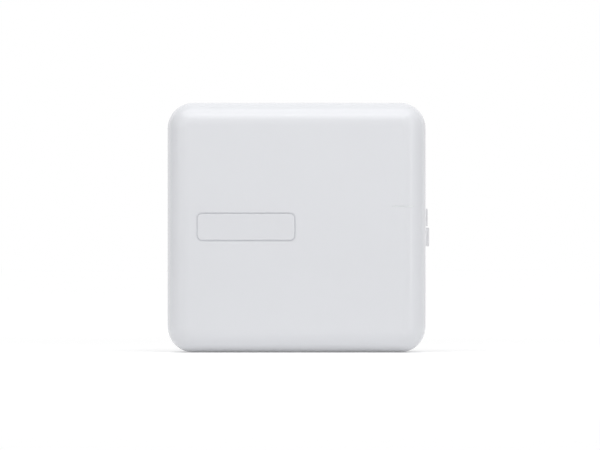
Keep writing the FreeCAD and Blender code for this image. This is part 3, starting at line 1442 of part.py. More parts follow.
def primary_lead(number, sags):
    """The corners of a lead from a pole of the mains terminal to the coil's left side."""
    pole = f"mains_left + mains_pitch * {number + 0.5}"
    entry_depth = "wall + mains_height / 3"
    x = "core_x - core_stack / 2 - coil_overhang + coil_setback + coil_lead_inset"
    depth = f"primary_lead_depth + {number} * primary_lead_spacing"
    return route(
        point(pole, entry_depth, "mains_bottom"),
        point(pole, entry_depth, "mains_bottom - lead_run"),
        point(x, depth, f"{COIL_TOP} + coil_lead_rise"),
        point(x, depth, COIL_TOP),
        sags,
    )


def secondary_lead(number, sags):
    """The corners of a lead from the coil's right side to the board's supply socket."""
    x = "core_x + core_stack / 2 + coil_overhang - coil_setback - coil_lead_inset"
    depth = f"secondary_lead_depth + {number} * secondary_coil_spacing"
    socket_x = f"board_left + supply_socket_across + {number - 0.5} * secondary_lead_spacing"
    socket_z = "board_bottom + supply_socket_up"
    socket_front = f"{BOARD_FRONT} + socket_rise"
    return route(
        point(x, depth, COIL_TOP),
        point(x, depth, f"{COIL_TOP} + coil_lead_rise"),
        point(socket_x, f"{socket_front} + supply_lead_run", socket_z),
        point(socket_x, socket_front, socket_z),
        sags,
    )


def key_board_lead(number, sags):
    """The corners of one wire from the key board's socket to the main board's."""
    lift = f"{number - (SIGNAL_WIRES - 1) / 2} * signal_lead_spacing"
    start_x = "key_board_left + key_lead_across"
    start_z = f"key_board_bottom + key_lead_up + {lift}"
    start_depth = f"{KEY_BOARD_FRONT} + socket_rise"
    end_x = "board_left + key_socket_across"
    end_z = f"board_bottom + key_socket_up + {lift}"
    end_depth = f"{BOARD_FRONT} + socket_rise"
    return route(
        point(start_x, start_depth, start_z),
        point(start_x, f"{start_depth} + key_lead_run", start_z),
        point(end_x, f"{end_depth} + signal_lead_run", end_z),
        point(end_x, end_depth, end_z),
        sags,
    )


def leads():
    """All wiring inside the case, from socket to socket."""
    primary = [primary_lead(number, sags) for number, sags in enumerate(PRIMARY_SAGS)]
    secondary = [secondary_lead(number, sags) for number, sags in enumerate(SECONDARY_SAGS)]
    signal = [key_board_lead(number, SIGNAL_SAGS) for number in range(SIGNAL_WIRES)]
    return [
        lead("battery_lead_red", "lead_radius", [battery_lead(BLADE_X[1], TAB_X[1], RED_SAGS)]),
        lead("battery_lead_black", "lead_radius", [battery_lead(BLADE_X[0], TAB_X[0], BLACK_SAGS)]),
        lead("primary_leads", "lead_radius", primary),
        lead("secondary_leads", "lead_radius", secondary),
        lead("key_board_leads", "signal_lead_radius", signal),
    ]


COVER_FORM = outer_form("cover_form_outside")[0]
PIECES = [
    back_box(),
    front_cover(),
    name_plate(),
    *status_light(),
    hinge_pins(),
    cover_screw(),
    side_key("side_key_upper", UPPER_KEY, UPPER_KEY_LEVEL, "upper_key_proud"),
    side_key("side_key_lower", LOWER_KEY, LOWER_KEY_LEVEL, "lower_key_proud"),
    *key_parts(),
    *main_board(),
    *board_parts(),
    *battery(),
    *transformer(),
    *mains_terminal(),
    sleeves("positive_sleeves", BLADE_X[1], TAB_X[1]),
    sleeves("negative_sleeves", BLADE_X[0], TAB_X[0]),
    *leads(),
]
doc.recompute()

for item in doc.Objects:
    if "Invalid" in item.State or "Error" in item.State:
        raise ValueError(f"{item.Name} is {item.State}")
for piece in PIECES:
    if piece.Shape.isNull() or not piece.Shape.isValid() or not piece.Shape.Solids:
        raise ValueError(f"{piece.Label} has no sound shape")

os.makedirs("parts", exist_ok=True)
for piece in PIECES:
    piece.Shape.exportStep(f"parts/{piece.Label}.step")
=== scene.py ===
"""Wall alarm control panel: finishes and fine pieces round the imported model, with floor, light and camera.

Pieces are measured in millimetres, as (across, forward from the wall, up); the scene itself is in metres.
"""

import logging
import math
from collections.abc import Iterator, Sequence
from contextlib import contextmanager
from dataclasses import dataclass, replace
from enum import Enum
from typing import ClassVar

import bmesh
import bpy
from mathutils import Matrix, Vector


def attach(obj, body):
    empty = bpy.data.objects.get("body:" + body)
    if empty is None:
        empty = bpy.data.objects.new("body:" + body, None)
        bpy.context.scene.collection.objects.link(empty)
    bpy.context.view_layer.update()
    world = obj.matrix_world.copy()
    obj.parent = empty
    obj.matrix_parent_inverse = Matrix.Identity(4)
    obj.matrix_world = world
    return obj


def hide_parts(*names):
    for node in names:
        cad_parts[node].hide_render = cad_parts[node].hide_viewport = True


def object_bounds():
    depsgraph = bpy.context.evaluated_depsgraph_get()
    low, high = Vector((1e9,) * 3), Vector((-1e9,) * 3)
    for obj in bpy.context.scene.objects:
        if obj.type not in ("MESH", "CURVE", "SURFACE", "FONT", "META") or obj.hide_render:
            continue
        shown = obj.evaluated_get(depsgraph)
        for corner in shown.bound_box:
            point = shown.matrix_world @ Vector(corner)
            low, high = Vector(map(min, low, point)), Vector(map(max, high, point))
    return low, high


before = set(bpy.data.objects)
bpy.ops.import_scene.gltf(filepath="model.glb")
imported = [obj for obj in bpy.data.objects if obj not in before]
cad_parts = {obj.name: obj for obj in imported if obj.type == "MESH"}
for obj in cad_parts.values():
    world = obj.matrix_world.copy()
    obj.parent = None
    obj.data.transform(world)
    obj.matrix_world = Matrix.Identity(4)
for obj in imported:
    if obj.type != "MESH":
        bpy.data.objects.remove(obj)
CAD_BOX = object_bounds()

LOG = logging.getLogger("alarm_control_panel")

Pair = tuple[float, float]
Triple = tuple[float, float, float]
Route = tuple[Pair, ...]
Line = tuple[int, float, float]

Socket = bpy.types.NodeSocket
Inputs = dict[int | str, object]
Outputs = bpy.types.bpy_prop_collection

MM = 0.001
SHARP_ANGLE = math.radians(38)

# Most of a noise texture's values lie between these.
NOISE_CORE: Pair = (0.3, 0.7)

# A colour Mix node's sockets by number, because the node's other data types use the same names.
MIX_SHARE, MIX_FIRST, MIX_SECOND, MIX_RESULT = 0, 6, 7, 2


class Body(Enum):
    """The bodies that new pieces ride on."""

    BASE = "base"
    COVER = "cover"


class Axis(Enum):
    """The direction in which a turned or extruded form grows, in the panel's frame."""

    RIGHT = (1.0, 0.0, 0.0)
    FORWARD = (0.0, -1.0, 0.0)
    UP = (0.0, 0.0, 1.0)


def spot(across: float, forward: float, up: float) -> Vector:
    """The place in metres, in the panel's frame, of a point in millimetres."""
    return Vector((across * MM, -forward * MM, up * MM))


def steps(count: int, start: float, pitch: float) -> list[float]:
    """So many evenly spaced places from a start."""
    return [start + pitch * number for number in range(count)]


def spread(count: int, pitch: float, middle: float = 0.0) -> list[float]:
    """So many evenly spaced places round a middle."""
    return [middle + (number - (count - 1) / 2) * pitch for number in range(count)]


def row(count: int, start: float, pitch: float, up: float) -> list[Pair]:
    """So many evenly spaced places from a start, at one height."""
    return [(across, up) for across in steps(count, start, pitch)]


def around(middle: float, less: float, more: float | None = None) -> Pair:
    """A range round a middle, with one margin or two."""
    return middle - less, middle + (less if more is None else more)


@dataclass(frozen=True)
class Extent:
    """A box in millimetres."""

    left: float
    right: float
    rear: float
    front: float
    bottom: float
    top: float

    @property
    def middle(self) -> Pair:
        """Its middle as seen from the front."""
        return (self.left + self.right) / 2, (self.bottom + self.top) / 2

    @property
    def seat(self) -> Triple:
        """The middle of its rear face."""
        return self.middle[0], self.rear, self.middle[1]

    @property
    def halfway(self) -> float:
        """Its middle from the rear to the front."""
        return (self.rear + self.front) / 2

    @property
    def width(self) -> float:
        """Its size across."""
        return self.right - self.left

    @property
    def height(self) -> float:
        """Its size upwards."""
        return self.top - self.bottom

    @property
    def rise(self) -> float:
        """Its size towards the front."""
        return self.front - self.rear

    def on_front(self, across: float = 0.0, up: float = 0.0, sink: float = 0.0) -> Triple:
        """A place so far from the middle of its front face, and so far behind the face."""
        return self.middle[0] + across, self.front - sink, self.middle[1] + up

    def moved(self, **sides: float) -> "Extent":
        """The box with each named side moved so far along its axis."""
        return replace(self, **{side: getattr(self, side) + way for side, way in sides.items()})

    def inset(self, across: float, up: float) -> "Extent":
        """The box with a margin off its left and right, and another off its bottom and top."""
        return self.moved(left=across, right=-across, bottom=up, top=-up)

    def from_rear(self, start: float, end: float) -> "Extent":
        """The layer between two distances from its rear face."""
        return replace(self, rear=self.rear + start, front=self.rear + end)

    def from_front(self, start: float, end: float) -> "Extent":
        """The layer between two distances from its front face."""
        return replace(self, rear=self.front + start, front=self.front + end)


def solids(node: str) -> list[Extent]:
    """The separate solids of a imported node, found from the faces that share corners to a micrometre.

    Args:
        node: The node's name.

    Returns:
        Their boxes, from left to right.
    """
    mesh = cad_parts[node].data
    corners: dict[tuple[int, ...], int] = {}
    numbers = [
        corners.setdefault(tuple(round(part * 1e6) for part in vertex.co), len(corners))
        for vertex in mesh.vertices
    ]
    leader = list(range(len(corners)))

    def lead(number: int) -> int:
        """Follows a corner to the one that stands for its solid.

        Args:
            number: The corner's number.

        Returns:
            The standing corner's number.
        """
        while leader[number] != number:
            leader[number] = leader[leader[number]]
            number = leader[number]
        return number

    for face in mesh.polygons:
        first, *others = (numbers[corner] for corner in face.vertices)
        for other in others:
            leader[lead(other)] = lead(first)
    found: dict[int, list[Triple]] = {}
    for corner, number in corners.items():
        found.setdefault(lead(number), []).append(tuple(part / 1000 for part in corner))
    boxes = []
    for points in found.values():
        (left, right), (front, rear), (bottom, top) = ((min(line), max(line)) for line in zip(*points))
        boxes.append(Extent(left, right, -rear, -front, bottom, top))
    return sorted(boxes, key=lambda box: (round(box.left), box.bottom))


class Nodes:
    """A node tree whose nodes are made and joined by word."""

    def __init__(self, tree: bpy.types.NodeTree) -> None:
        """Starts on a tree."""
        self.tree = tree

    def feed(self, socket: Socket, value: object) -> None:
        """Sets a socket to a value, or links it to an output.

        Args:
            socket: The input.
            value: A number, a colour, a vector or another node's output.
        """
        if isinstance(value, Socket):
            self.tree.links.new(value, socket)
        elif isinstance(value, (int, float)):
            socket.default_value = value
        else:
            socket.default_value = (*value, 1.0)[: len(socket.default_value)]

    def add(self, kind: str, inputs: Inputs | None = None, **settings: object) -> Outputs:
        """Adds a node.

        Args:
            kind: The node's type.
            inputs: What its inputs get, by name or number.
            settings: Attributes to set on it.

        Returns:
            Its outputs.
        """
        node = self.tree.nodes.new(kind)
        for word, value in settings.items():
            setattr(node, word, value)
        for word, value in (inputs or {}).items():
            self.feed(node.inputs[word], value)
        return node.outputs

    def maths(self, how: str, *values: object) -> Socket:
        """The result of one step of arithmetic on numbers and outputs."""
        return self.add("ShaderNodeMath", dict(enumerate(values)), operation=how)["Value"]

    def span(self, value: object, start: Pair, end: Pair = (0.0, 1.0), how: str = "LINEAR") -> Socket:
        """A value carried from one range to another, and held at its ends."""
        ends = dict(zip(("From Min", "From Max", "To Min", "To Max"), (*start, *end)))
        return self.add("ShaderNodeMapRange", {"Value": value, **ends}, interpolation_type=how)["Result"]


class Graph(Nodes):
    """A material's nodes: textures on the panel's own coordinates, and one surface shader."""

    def __init__(self, name: str) -> None:
        """Starts an empty material.

        Args:
            name: The material's name.
        """
        self.material = bpy.data.materials.new(name)
        self.material.use_nodes = True
        super().__init__(self.material.node_tree)
        self.tree.nodes.clear()
        self.place = self.add("ShaderNodeTexCoord")["Object"]

    def noise(self, scale: float, detail: float = 2.0, stretch: Triple | None = None) -> Socket:
        """A noise texture's value.

        Args:
            scale: Features per metre.
            detail: How many finer layers are added.
            stretch: A factor on the place along X, Y and Z.

        Returns:
            The value, from 0 to 1.
        """
        where = self.place
        if stretch is not None:
            where = self.add("ShaderNodeMapping", {"Vector": where, "Scale": stretch})["Vector"]
        return self.add("ShaderNodeTexNoise", {"Vector": where, "Scale": scale, "Detail": detail})["Fac"]

    def ripple(self, axis: str, pitch: float) -> Socket:
        """Even waves from 0 to 1 along X, Y or Z, with their crests a pitch in metres apart."""
        along = self.add("ShaderNodeSeparateXYZ", {"Vector": self.place})[axis]
        return self.span(self.maths("SINE", self.maths("MULTIPLY", along, 2 * math.pi / pitch)), (-1.0, 1.0))

    def blend(self, share: object, first: object, second: object) -> Socket:
        """A mix of two colours, with a share from 0 to 1 of the second."""
        colours = {MIX_SHARE: share, MIX_FIRST: first, MIX_SECOND: second}
        return self.add("ShaderNodeMix", colours, data_type="RGBA")[MIX_RESULT]

    def bump(self, height: object, depth: float, before: Socket | None = None) -> Socket:
        """A normal bent by a height, whose relief is a depth in metres, after an earlier bump or none."""
        earlier = {} if before is None else {"Normal": before}
        return self.add("ShaderNodeBump", {"Distance": depth, "Height": height, **earlier})["Normal"]

    def end(self, shader: Socket) -> bpy.types.Material:
        """The material, ended with a shader."""
        self.add("ShaderNodeOutputMaterial", {"Surface": shader})
        return self.material

    def surface(self, **inputs: object) -> bpy.types.Material:
        """The material, ended with a principled shader whose inputs are named with underscores for spaces."""
        named = {word.replace("_", " "): value for word, value in inputs.items()}
        return self.end(self.add("ShaderNodeBsdfPrincipled", named)["BSDF"])


@dataclass(frozen=True)
class Finish:
    """A surface finish; each kind builds its own nodes."""

    name: str
    colour: Triple

    made: ClassVar[dict[str, bpy.types.Material]] = {}

    def shade(self, factor: float) -> Triple:
        """The colour, darker or lighter by a factor."""
        return tuple(min(part * factor, 1.0) for part in self.colour)

    def material(self) -> bpy.types.Material:
        """The finish's material, built once.

        Returns:
            The material.
        """
        if self.name not in Finish.made:
            Finish.made[self.name] = self.build(Graph(self.name))
        return Finish.made[self.name]

    def build(self, graph: Graph) -> bpy.types.Material:
        """Builds the nodes.

        Args:
            graph: An empty material.

        Returns:
            The finished material.
        """
        raise NotImplementedError

    def dress(self, *nodes: str) -> None:
        """Gives carried-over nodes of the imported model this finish.

        Args:
            nodes: The nodes' names.
        """
        for name in nodes:
            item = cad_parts[name]
            if not item.material_slots:
                item.data.materials.append(self.material())
            for slot in item.material_slots:
                slot.material = self.material()
            LOG.info("dressed %s in %s", name, self.name)


@dataclass(frozen=True)
class MouldedPlastic(Finish):
    """Moulded plastic: a fine spark-eroded grain, slow shade changes and a broken-up gloss."""

    roughness: float = 0.4
    grain: float = 1500.0
    relief: float = 1e-6
    variation: float = 0.012

    def build(self, graph: Graph) -> bpy.types.Material:
        """Builds the nodes.

        Args:
            graph: An empty material.

        Returns:
            The finished material.
        """
        cloud = graph.span(graph.noise(14.0, 3.0), NOISE_CORE)
        return graph.surface(
            Base_Color=graph.blend(cloud, self.shade(1 - self.variation), self.colour),
            Roughness=graph.span(graph.noise(90.0, 4.0), NOISE_CORE, around(self.roughness, 0.03)),
            Normal=graph.bump(graph.noise(self.grain, 3.0), self.relief),
        )


@dataclass(frozen=True)
class FrostedPlastic(Finish):
    """Clear plastic with an etched skin, as a light guide has."""

    roughness: float = 0.3
    clearness: float = 0.08

    def build(self, graph: Graph) -> bpy.types.Material:
        """Builds the nodes.

        Args:
            graph: An empty material.

        Returns:
            The finished material.
        """
        frost = graph.noise(1200.0, 3.0)
        return graph.surface(
            Base_Color=graph.blend(frost, self.shade(0.97), self.colour),
            Roughness=graph.span(frost, NOISE_CORE, around(self.roughness, 0.0, 0.1)),
            Transmission_Weight=self.clearness,
            IOR=1.49,
            Normal=graph.bump(frost, 2e-6),
        )


@dataclass(frozen=True)
class ClearMoulding(Finish):
    """Tinted or plain glass-clear material: a lamp's epoxy or a fuse's tube."""

    clearness: float = 0.8

    def build(self, graph: Graph) -> bpy.types.Material:
        """Builds the nodes.

        Args:
            graph: An empty material.

        Returns:
            The finished material.
        """
        flow = graph.noise(600.0)
        return graph.surface(
            Base_Color=graph.blend(flow, self.shade(0.9), self.colour),
            Roughness=graph.span(flow, NOISE_CORE, (0.03, 0.09)),
            Transmission_Weight=self.clearness,
            IOR=1.5,
            Normal=graph.bump(flow, 4e-6),
        )


@dataclass(frozen=True)
class Metal(Finish):
    """Plated or rolled metal: cloudy plating, fine drawn lines and a few dull spots."""

    roughness: float = 0.3
    cloud: float = 0.12
    drawn: Triple = (1.0, 1.0, 1.0)

    def build(self, graph: Graph) -> bpy.types.Material:
        """Builds the nodes.

        Args:
            graph: An empty material.

        Returns:
            The finished material.
        """
        cloud = graph.span(graph.noise(70.0, 5.0), NOISE_CORE)
        lines = graph.noise(1300.0, 2.0, self.drawn)
        spots = graph.span(graph.noise(420.0), (0.58, 0.74), (0.0, 0.07))
        rub = graph.span(lines, NOISE_CORE, around(self.roughness, 0.08))
        return graph.surface(
            Base_Color=graph.blend(cloud, self.shade(1 - self.cloud), self.colour),
            Metallic=1.0,
            Roughness=graph.maths("ADD", rub, spots),
            Normal=graph.bump(lines, 1e-6),
        )


@dataclass(frozen=True)
class SolderMask(Finish):
    """Green mask over glass cloth: the weave shows faintly through a glossy, slightly pooled skin."""

    roughness: float = 0.28
    thread: float = 0.0006

    def build(self, graph: Graph) -> bpy.types.Material:
        """Builds the nodes.

        Args:
            graph: An empty material.

        Returns:
            The finished material.
        """
        weave = graph.maths("MULTIPLY", graph.ripple("X", self.thread), graph.ripple("Z", self.thread))
        pool = graph.span(graph.noise(120.0, 3.0), NOISE_CORE)
        tone = graph.maths("ADD", graph.maths("MULTIPLY", weave, 0.35), graph.maths("MULTIPLY", pool, 0.65))
        return graph.surface(
            Base_Color=graph.blend(tone, self.shade(0.8), self.shade(1.15)),
            Roughness=graph.span(pool, (0.0, 1.0), around(self.roughness, 0.05, 0.07)),
            Normal=graph.bump(weave, 6e-6),
        )


@dataclass(frozen=True)
class LaminatedSteel(Finish):
    """The edges of stacked steel sheets under a thin brown varnish."""

    sheet: float = 0.0005

    def build(self, graph: Graph) -> bpy.types.Material:
        """Builds the nodes.

        Args:
            graph: An empty material.

        Returns:
            The finished material.
        """
        edges = graph.ripple("X", self.sheet)
        varnish = graph.span(graph.noise(180.0, 4.0), (0.35, 0.7))
        bright = graph.blend(varnish, self.colour, self.shade(1.6))
        return graph.surface(
            Base_Color=graph.blend(graph.span(edges, (0.1, 0.45)), self.shade(0.35), bright),
            Metallic=0.6,
            Roughness=graph.span(varnish, (0.0, 1.0), (0.55, 0.38)),
            Normal=graph.bump(edges, 4e-5),
        )


@dataclass(frozen=True)
class WoundTape(Finish):
    """Polyester tape drawn tight over the turns of a coil."""

    turn: float = 0.0009

    def build(self, graph: Graph) -> bpy.types.Material:
        """Builds the nodes.

        Args:
            graph: An empty material.

        Returns:
            The finished material.
        """
        turns = graph.ripple("Y", self.turn)
        wrinkle = graph.noise(240.0, 3.0, (1.0, 0.25, 1.0))
        tone = graph.span(graph.maths("ADD", turns, wrinkle), (0.4, 1.5))
        return graph.surface(
            Base_Color=graph.blend(tone, self.shade(0.72), self.colour),
            Roughness=graph.span(wrinkle, NOISE_CORE, (0.2, 0.34)),
            Normal=graph.bump(wrinkle, 4e-5, graph.bump(turns, 8e-5)),
        )


@dataclass(frozen=True)
class SoftSkin(Finish):
    """Soft or rubbery skin: lead insulation, push-on sleeves, an aerial's rubber, a shrunk sleeve."""

    roughness: float = 0.42
    wave: float = 0.004

    def build(self, graph: Graph) -> bpy.types.Material:
        """Builds the nodes.

        Args:
            graph: An empty material.

        Returns:
            The finished material.
        """
        slow = graph.noise(1 / self.wave)
        fine = graph.noise(1800.0)
        return graph.surface(
            Base_Color=graph.blend(graph.span(slow, NOISE_CORE), self.shade(0.86), self.shade(1.06)),
            Roughness=graph.span(fine, NOISE_CORE, around(self.roughness, 0.05, 0.06)),
            Normal=graph.bump(fine, 4e-6, graph.bump(slow, 3e-5)),
        )


CASE_WHITE = MouldedPlastic("case_plastic", (0.80, 0.81, 0.84), 0.13)
# The side keys wear the case's white plastic made lighter: painted light that makes up for the shade they sit
# in beside the cover's bulge.
KEY_WHITE_PAINTED_LIGHT = MouldedPlastic("key_plastic_painted_light", (0.87, 0.875, 0.89), 0.2)
PLATE_WHITE = MouldedPlastic("plate_plastic", (0.79, 0.80, 0.83), 0.2)
LIGHT_CLEAR = FrostedPlastic("light_guide_plastic", (0.84, 0.86, 0.88))
TERMINAL_GREEN = MouldedPlastic("terminal_plastic", (0.07, 0.36, 0.22), 0.42, 900.0, 8e-6, 0.08)
PART_BLACK = MouldedPlastic("part_plastic", (0.03, 0.03, 0.035), 0.5, 1800.0, 1e-5, 0.15)
RELAY_BLUE = MouldedPlastic("relay_plastic", (0.06, 0.16, 0.42), 0.34, 1100.0, 6e-6, 0.08)
SOCKET_WHITE = MouldedPlastic("socket_nylon", (0.80, 0.79, 0.74), 0.38, 1300.0, 6e-6, 0.05)
BOBBIN_CREAM = MouldedPlastic("bobbin_nylon", (0.74, 0.70, 0.58), 0.42, 1000.0, 1e-5, 0.08)
BATTERY_GREY = MouldedPlastic("battery_plastic", (0.045, 0.047, 0.052), 0.55, 1400.0, 3e-5, 0.2)
BATTERY_LID_GREY = MouldedPlastic("battery_lid_plastic", (0.06, 0.063, 0.07), 0.5, 1400.0, 3e-5, 0.2)
FILM_SILVER = MouldedPlastic("battery_film", (0.55, 0.56, 0.57), 0.32, 700.0, 8e-6, 0.04)
RING_RED = MouldedPlastic("terminal_ring_red", (0.5, 0.03, 0.03), 0.4, 1200.0, 1e-5, 0.1)
CERAMIC = MouldedPlastic("resistor_ceramic", (0.02, 0.02, 0.022), 0.35, 2600.0, 4e-6, 0.2)
CERAMIC_TAN = MouldedPlastic("chip_capacitor_ceramic", (0.42, 0.3, 0.18), 0.5, 2600.0, 6e-6, 0.15)
PRINT_WHITE = MouldedPlastic("board_print", (0.72, 0.74, 0.72), 0.5, 2200.0, 4e-6, 0.1)
STRIPE_GREY = MouldedPlastic("capacitor_stripe", (0.45, 0.47, 0.52), 0.28, 1500.0, 4e-6, 0.08)
BOARD_GREEN = SolderMask("solder_mask", (0.03, 0.2, 0.09))
TRACK_GREEN = SolderMask("masked_copper", (0.085, 0.40, 0.16), 0.24)
ZINC = Metal("zinc_plate", (0.58, 0.59, 0.6), 0.36, 0.14, (1.0, 1.0, 0.3))
TIN = Metal("tin_plate", (0.75, 0.74, 0.7), 0.28, 0.1)
CAN_METAL = Metal("can_metal", (0.72, 0.73, 0.74), 0.3, 0.08, (1.0, 1.0, 0.12))
BARE_ALUMINIUM = Metal("bare_aluminium", (0.78, 0.78, 0.79), 0.26, 0.08)
BRASS = Metal("brass", (0.72, 0.58, 0.3), 0.26, 0.12)
HEAT_SINK = Metal("anodised_fins", (0.05, 0.05, 0.055), 0.48, 0.2, (1.0, 0.1, 1.0))
CORE_STEEL = LaminatedSteel("core_sheets", (0.16, 0.14, 0.13))
COIL_TAPE = WoundTape("coil_tape", (0.72, 0.5, 0.08))
LAMP_RED = ClearMoulding("lamp_epoxy", (0.75, 0.12, 0.08), 0.6)
FUSE_GLASS = ClearMoulding("fuse_glass", (0.92, 0.95, 0.94), 0.96)
SLEEVE_BLUE = SoftSkin("capacitor_sleeve", (0.04, 0.05, 0.12), 0.24, 0.006)
AERIAL_RUBBER = SoftSkin("aerial_rubber", (0.025, 0.025, 0.028), 0.62, 0.003)
LEAD_RED = SoftSkin("lead_red", (0.55, 0.03, 0.025))
LEAD_BLACK = SoftSkin("lead_black", (0.025, 0.025, 0.028))
LEAD_BROWN = SoftSkin("lead_brown", (0.16, 0.07, 0.035))
LEAD_YELLOW = SoftSkin("lead_yellow", (0.7, 0.52, 0.05))
LEAD_GREY = SoftSkin("lead_grey", (0.36, 0.37, 0.39))


class Form:
    """A mesh in the making; each part of it has its own finish, and measures are in millimetres."""

    def __init__(self, name: str) -> None:
        """Starts an empty form.

        Args:
            name: The piece's name.
        """
        self.name = name
        self.mesh = bmesh.new()
        self.finishes: list[Finish] = []

    def number(self, finish: Finish) -> int:
        """The finish's place in the form's list, added if it is new.

        Args:
            finish: The finish.

        Returns:
            Its place.
        """
        if finish not in self.finishes:
            self.finishes.append(finish)
        return self.finishes.index(finish)

    @contextmanager
    def wearing(self, finish: Finish) -> Iterator[None]:
        """Gives every face that is made inside it one finish.

        Args:
            finish: The finish.

        Yields:
            Nothing, while the faces are made.
        """
        before = set(self.mesh.faces)
        yield
        number = self.number(finish)
        for face in self.mesh.faces:
            if face not in before:
                face.material_index = number

    def block(self, box: Extent, finish: Finish, edge: float = 0.0, segments: int = 2) -> None:
        """A block with rounded edges.

        Args:
            box: Its extent.
            finish: Its finish.
            edge: The radius of its edges.
            segments: How many faces round an edge.
        """
        with self.wearing(finish):
            made = bmesh.ops.create_cube(self.mesh, size=1.0)["verts"]
            low = spot(box.left, box.front, box.bottom)
            size = spot(box.right, box.rear, box.top) - low
            for vert in made:
                vert.co = low + Vector(part * (share + 0.5) for part, share in zip(size, vert.co))
            if edge:
                edges = list(dict.fromkeys(side for vert in made for side in vert.link_edges))
                bmesh.ops.bevel(
                    self.mesh, geom=edges, offset=edge * MM, segments=segments, profile=0.5, affect="EDGES"
                )

    def turned(
        self,
        profile: Sequence[Pair],
        foot: Triple,
        finish: Finish,
        axis: Axis = Axis.FORWARD,
        sides: int = 28,
    ) -> list[bmesh.types.BMFace]:
        """A turned form.

        Args:
            profile: Its outline as pairs of radius and height.
            foot: Where its axis starts.
            finish: Its finish.
            axis: The way it grows.
            sides: How many faces round it.

        Returns:
            Its faces.
        """
        before = set(self.mesh.faces)
        turn = Vector(axis.value).to_track_quat("Z", "Y").to_matrix()
        start = spot(*foot)
        with self.wearing(finish):
            rings = []
            for radius, height in profile:
                angles = [2 * math.pi * number / sides for number in range(sides if radius else 1)]
                places = [Vector((math.cos(a) * radius, math.sin(a) * radius, height)) * MM for a in angles]
                rings.append([self.mesh.verts.new(start + turn @ place) for place in places])
            for lower, upper in zip(rings, rings[1:]):
                for number in range(sides):
                    following = (number + 1) % sides
                    corners = [lower[number % len(lower)], lower[following % len(lower)]]
                    corners += [upper[following % len(upper)], upper[number % len(upper)]]
                    self.mesh.faces.new(list(dict.fromkeys(corners)))
        return [face for face in self.mesh.faces if face not in before]

    def extruded(
        self, outline: Sequence[Pair], start: float, end: float, finish: Finish, axis: Axis = Axis.FORWARD
    ) -> None:
        """An outline drawn out along an axis.

        Args:
            outline: Its corners: (across, up) for FORWARD, (forward, up) for RIGHT, (across, forward) for UP.
            start: Where it starts along the axis.
            end: Where it ends.
            finish: Its finish.
            axis: The way it is drawn out.
        """
        slot = {Axis.RIGHT: 0, Axis.FORWARD: 1, Axis.UP: 2}[axis]
        with self.wearing(finish):
            ends = [
                [self.mesh.verts.new(spot(*point[:slot], along, *point[slot:])) for point in outline]
                for along in (start, end)
            ]
            for ring in ends:
                self.mesh.faces.new(ring)
            for number in range(len(outline)):
                following = (number + 1) % len(outline)
                corners = [ends[0][number], ends[0][following], ends[1][following], ends[1][number]]
                self.mesh.faces.new(corners)

    def slotted_head(self, box: Extent, finish: Finish, slot: float, turn: float) -> None:
        """A flat-topped screw head with a straight slot.

        Args:
            box: The head's extent.
            finish: Its finish.
            slot: The slot's width.
            turn: The slot's angle in radians.
        """
        radius, floor, shoulder = box.width / 2, box.rise / 2, box.rise - 0.12
        base = [(0, 0), (radius * 0.96, 0), (radius, 0.1), (radius, floor), (0, floor)]
        self.turned(base, box.seat, finish, sides=20)
        across, up = box.middle
        reach = math.asin(slot / 2 / radius)
        arc, pieces = math.pi - 2 * reach, 9
        for side in (0.0, math.pi):
            for shrink, start, end in ((1.0, floor, shoulder), (0.93, shoulder, box.rise)):
                angles = [side + reach + arc * step / pieces + turn for step in range(pieces + 1)]
                outline = [
                    (across + radius * shrink * math.cos(angle), up + radius * shrink * math.sin(angle))
                    for angle in angles
                ]
                self.extruded(outline, box.rear + start, box.rear + end, finish)

    def ribbon(self, points: Sequence[Pair], width: float, rear: float, rise: float, finish: Finish) -> None:
        """A flat strip on a board, mitred at its corners.

        Args:
            points: The middle line, as (across, up).
            width: Its width.
            rear: The face it lies on.
            rise: Its thickness.
            finish: Its finish.
        """
        line = [Vector(point) for point in points]
        banks: tuple[list[Pair], list[Pair]] = ([], [])
        for number, point in enumerate(line):
            before = (point - line[number - 1]).normalized() if number else None
            after = (line[number + 1] - point).normalized() if number + 1 < len(line) else None
            along = ((before or after) + (after or before)).normalized()
            lean = along.dot(after or before)
            normal = Vector((-along.y, along.x)) * width / 2 / max(lean, 0.5)
            banks[0].append(tuple(point + normal))
            banks[1].append(tuple(point - normal))
        for number in range(len(line) - 1):
            corners = banks[0][number : number + 2] + banks[1][number : number + 2][::-1]
            self.extruded(corners, rear, rear + rise, finish)

    def place(self, body: Body, slot: str, *stands_for: str) -> None:
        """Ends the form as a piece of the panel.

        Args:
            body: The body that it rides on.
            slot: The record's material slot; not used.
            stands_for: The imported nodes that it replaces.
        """
        bmesh.ops.recalc_face_normals(self.mesh, faces=self.mesh.faces)
        data = bpy.data.meshes.new(self.name)
        self.mesh.to_mesh(data)
        self.mesh.free()
        data.shade_smooth()
        data.set_sharp_from_angle(angle=SHARP_ANGLE)
        for finish in self.finishes:
            data.materials.append(finish.material())
        item = bpy.data.objects.new(self.name, data)
        bpy.context.scene.collection.objects.link(item)
        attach(item, body.value)
        if stands_for:
            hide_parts(*stands_for)
        LOG.info("built %s on %s: %d faces", self.name, body.value, len(data.polygons))


@dataclass
class Assembly:
    """A sub-assembly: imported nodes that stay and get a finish, and new pieces over or beside them."""

    kept: ClassVar[dict[Finish, tuple[str, ...]]] = {}

    def pieces(self) -> None:
        """Makes the new pieces, where there are any."""

    def build(self) -> None:
        """Dresses the nodes that stay, then makes the new pieces."""
        for finish, nodes in self.kept.items():
            finish.dress(*nodes)
        self.pieces()


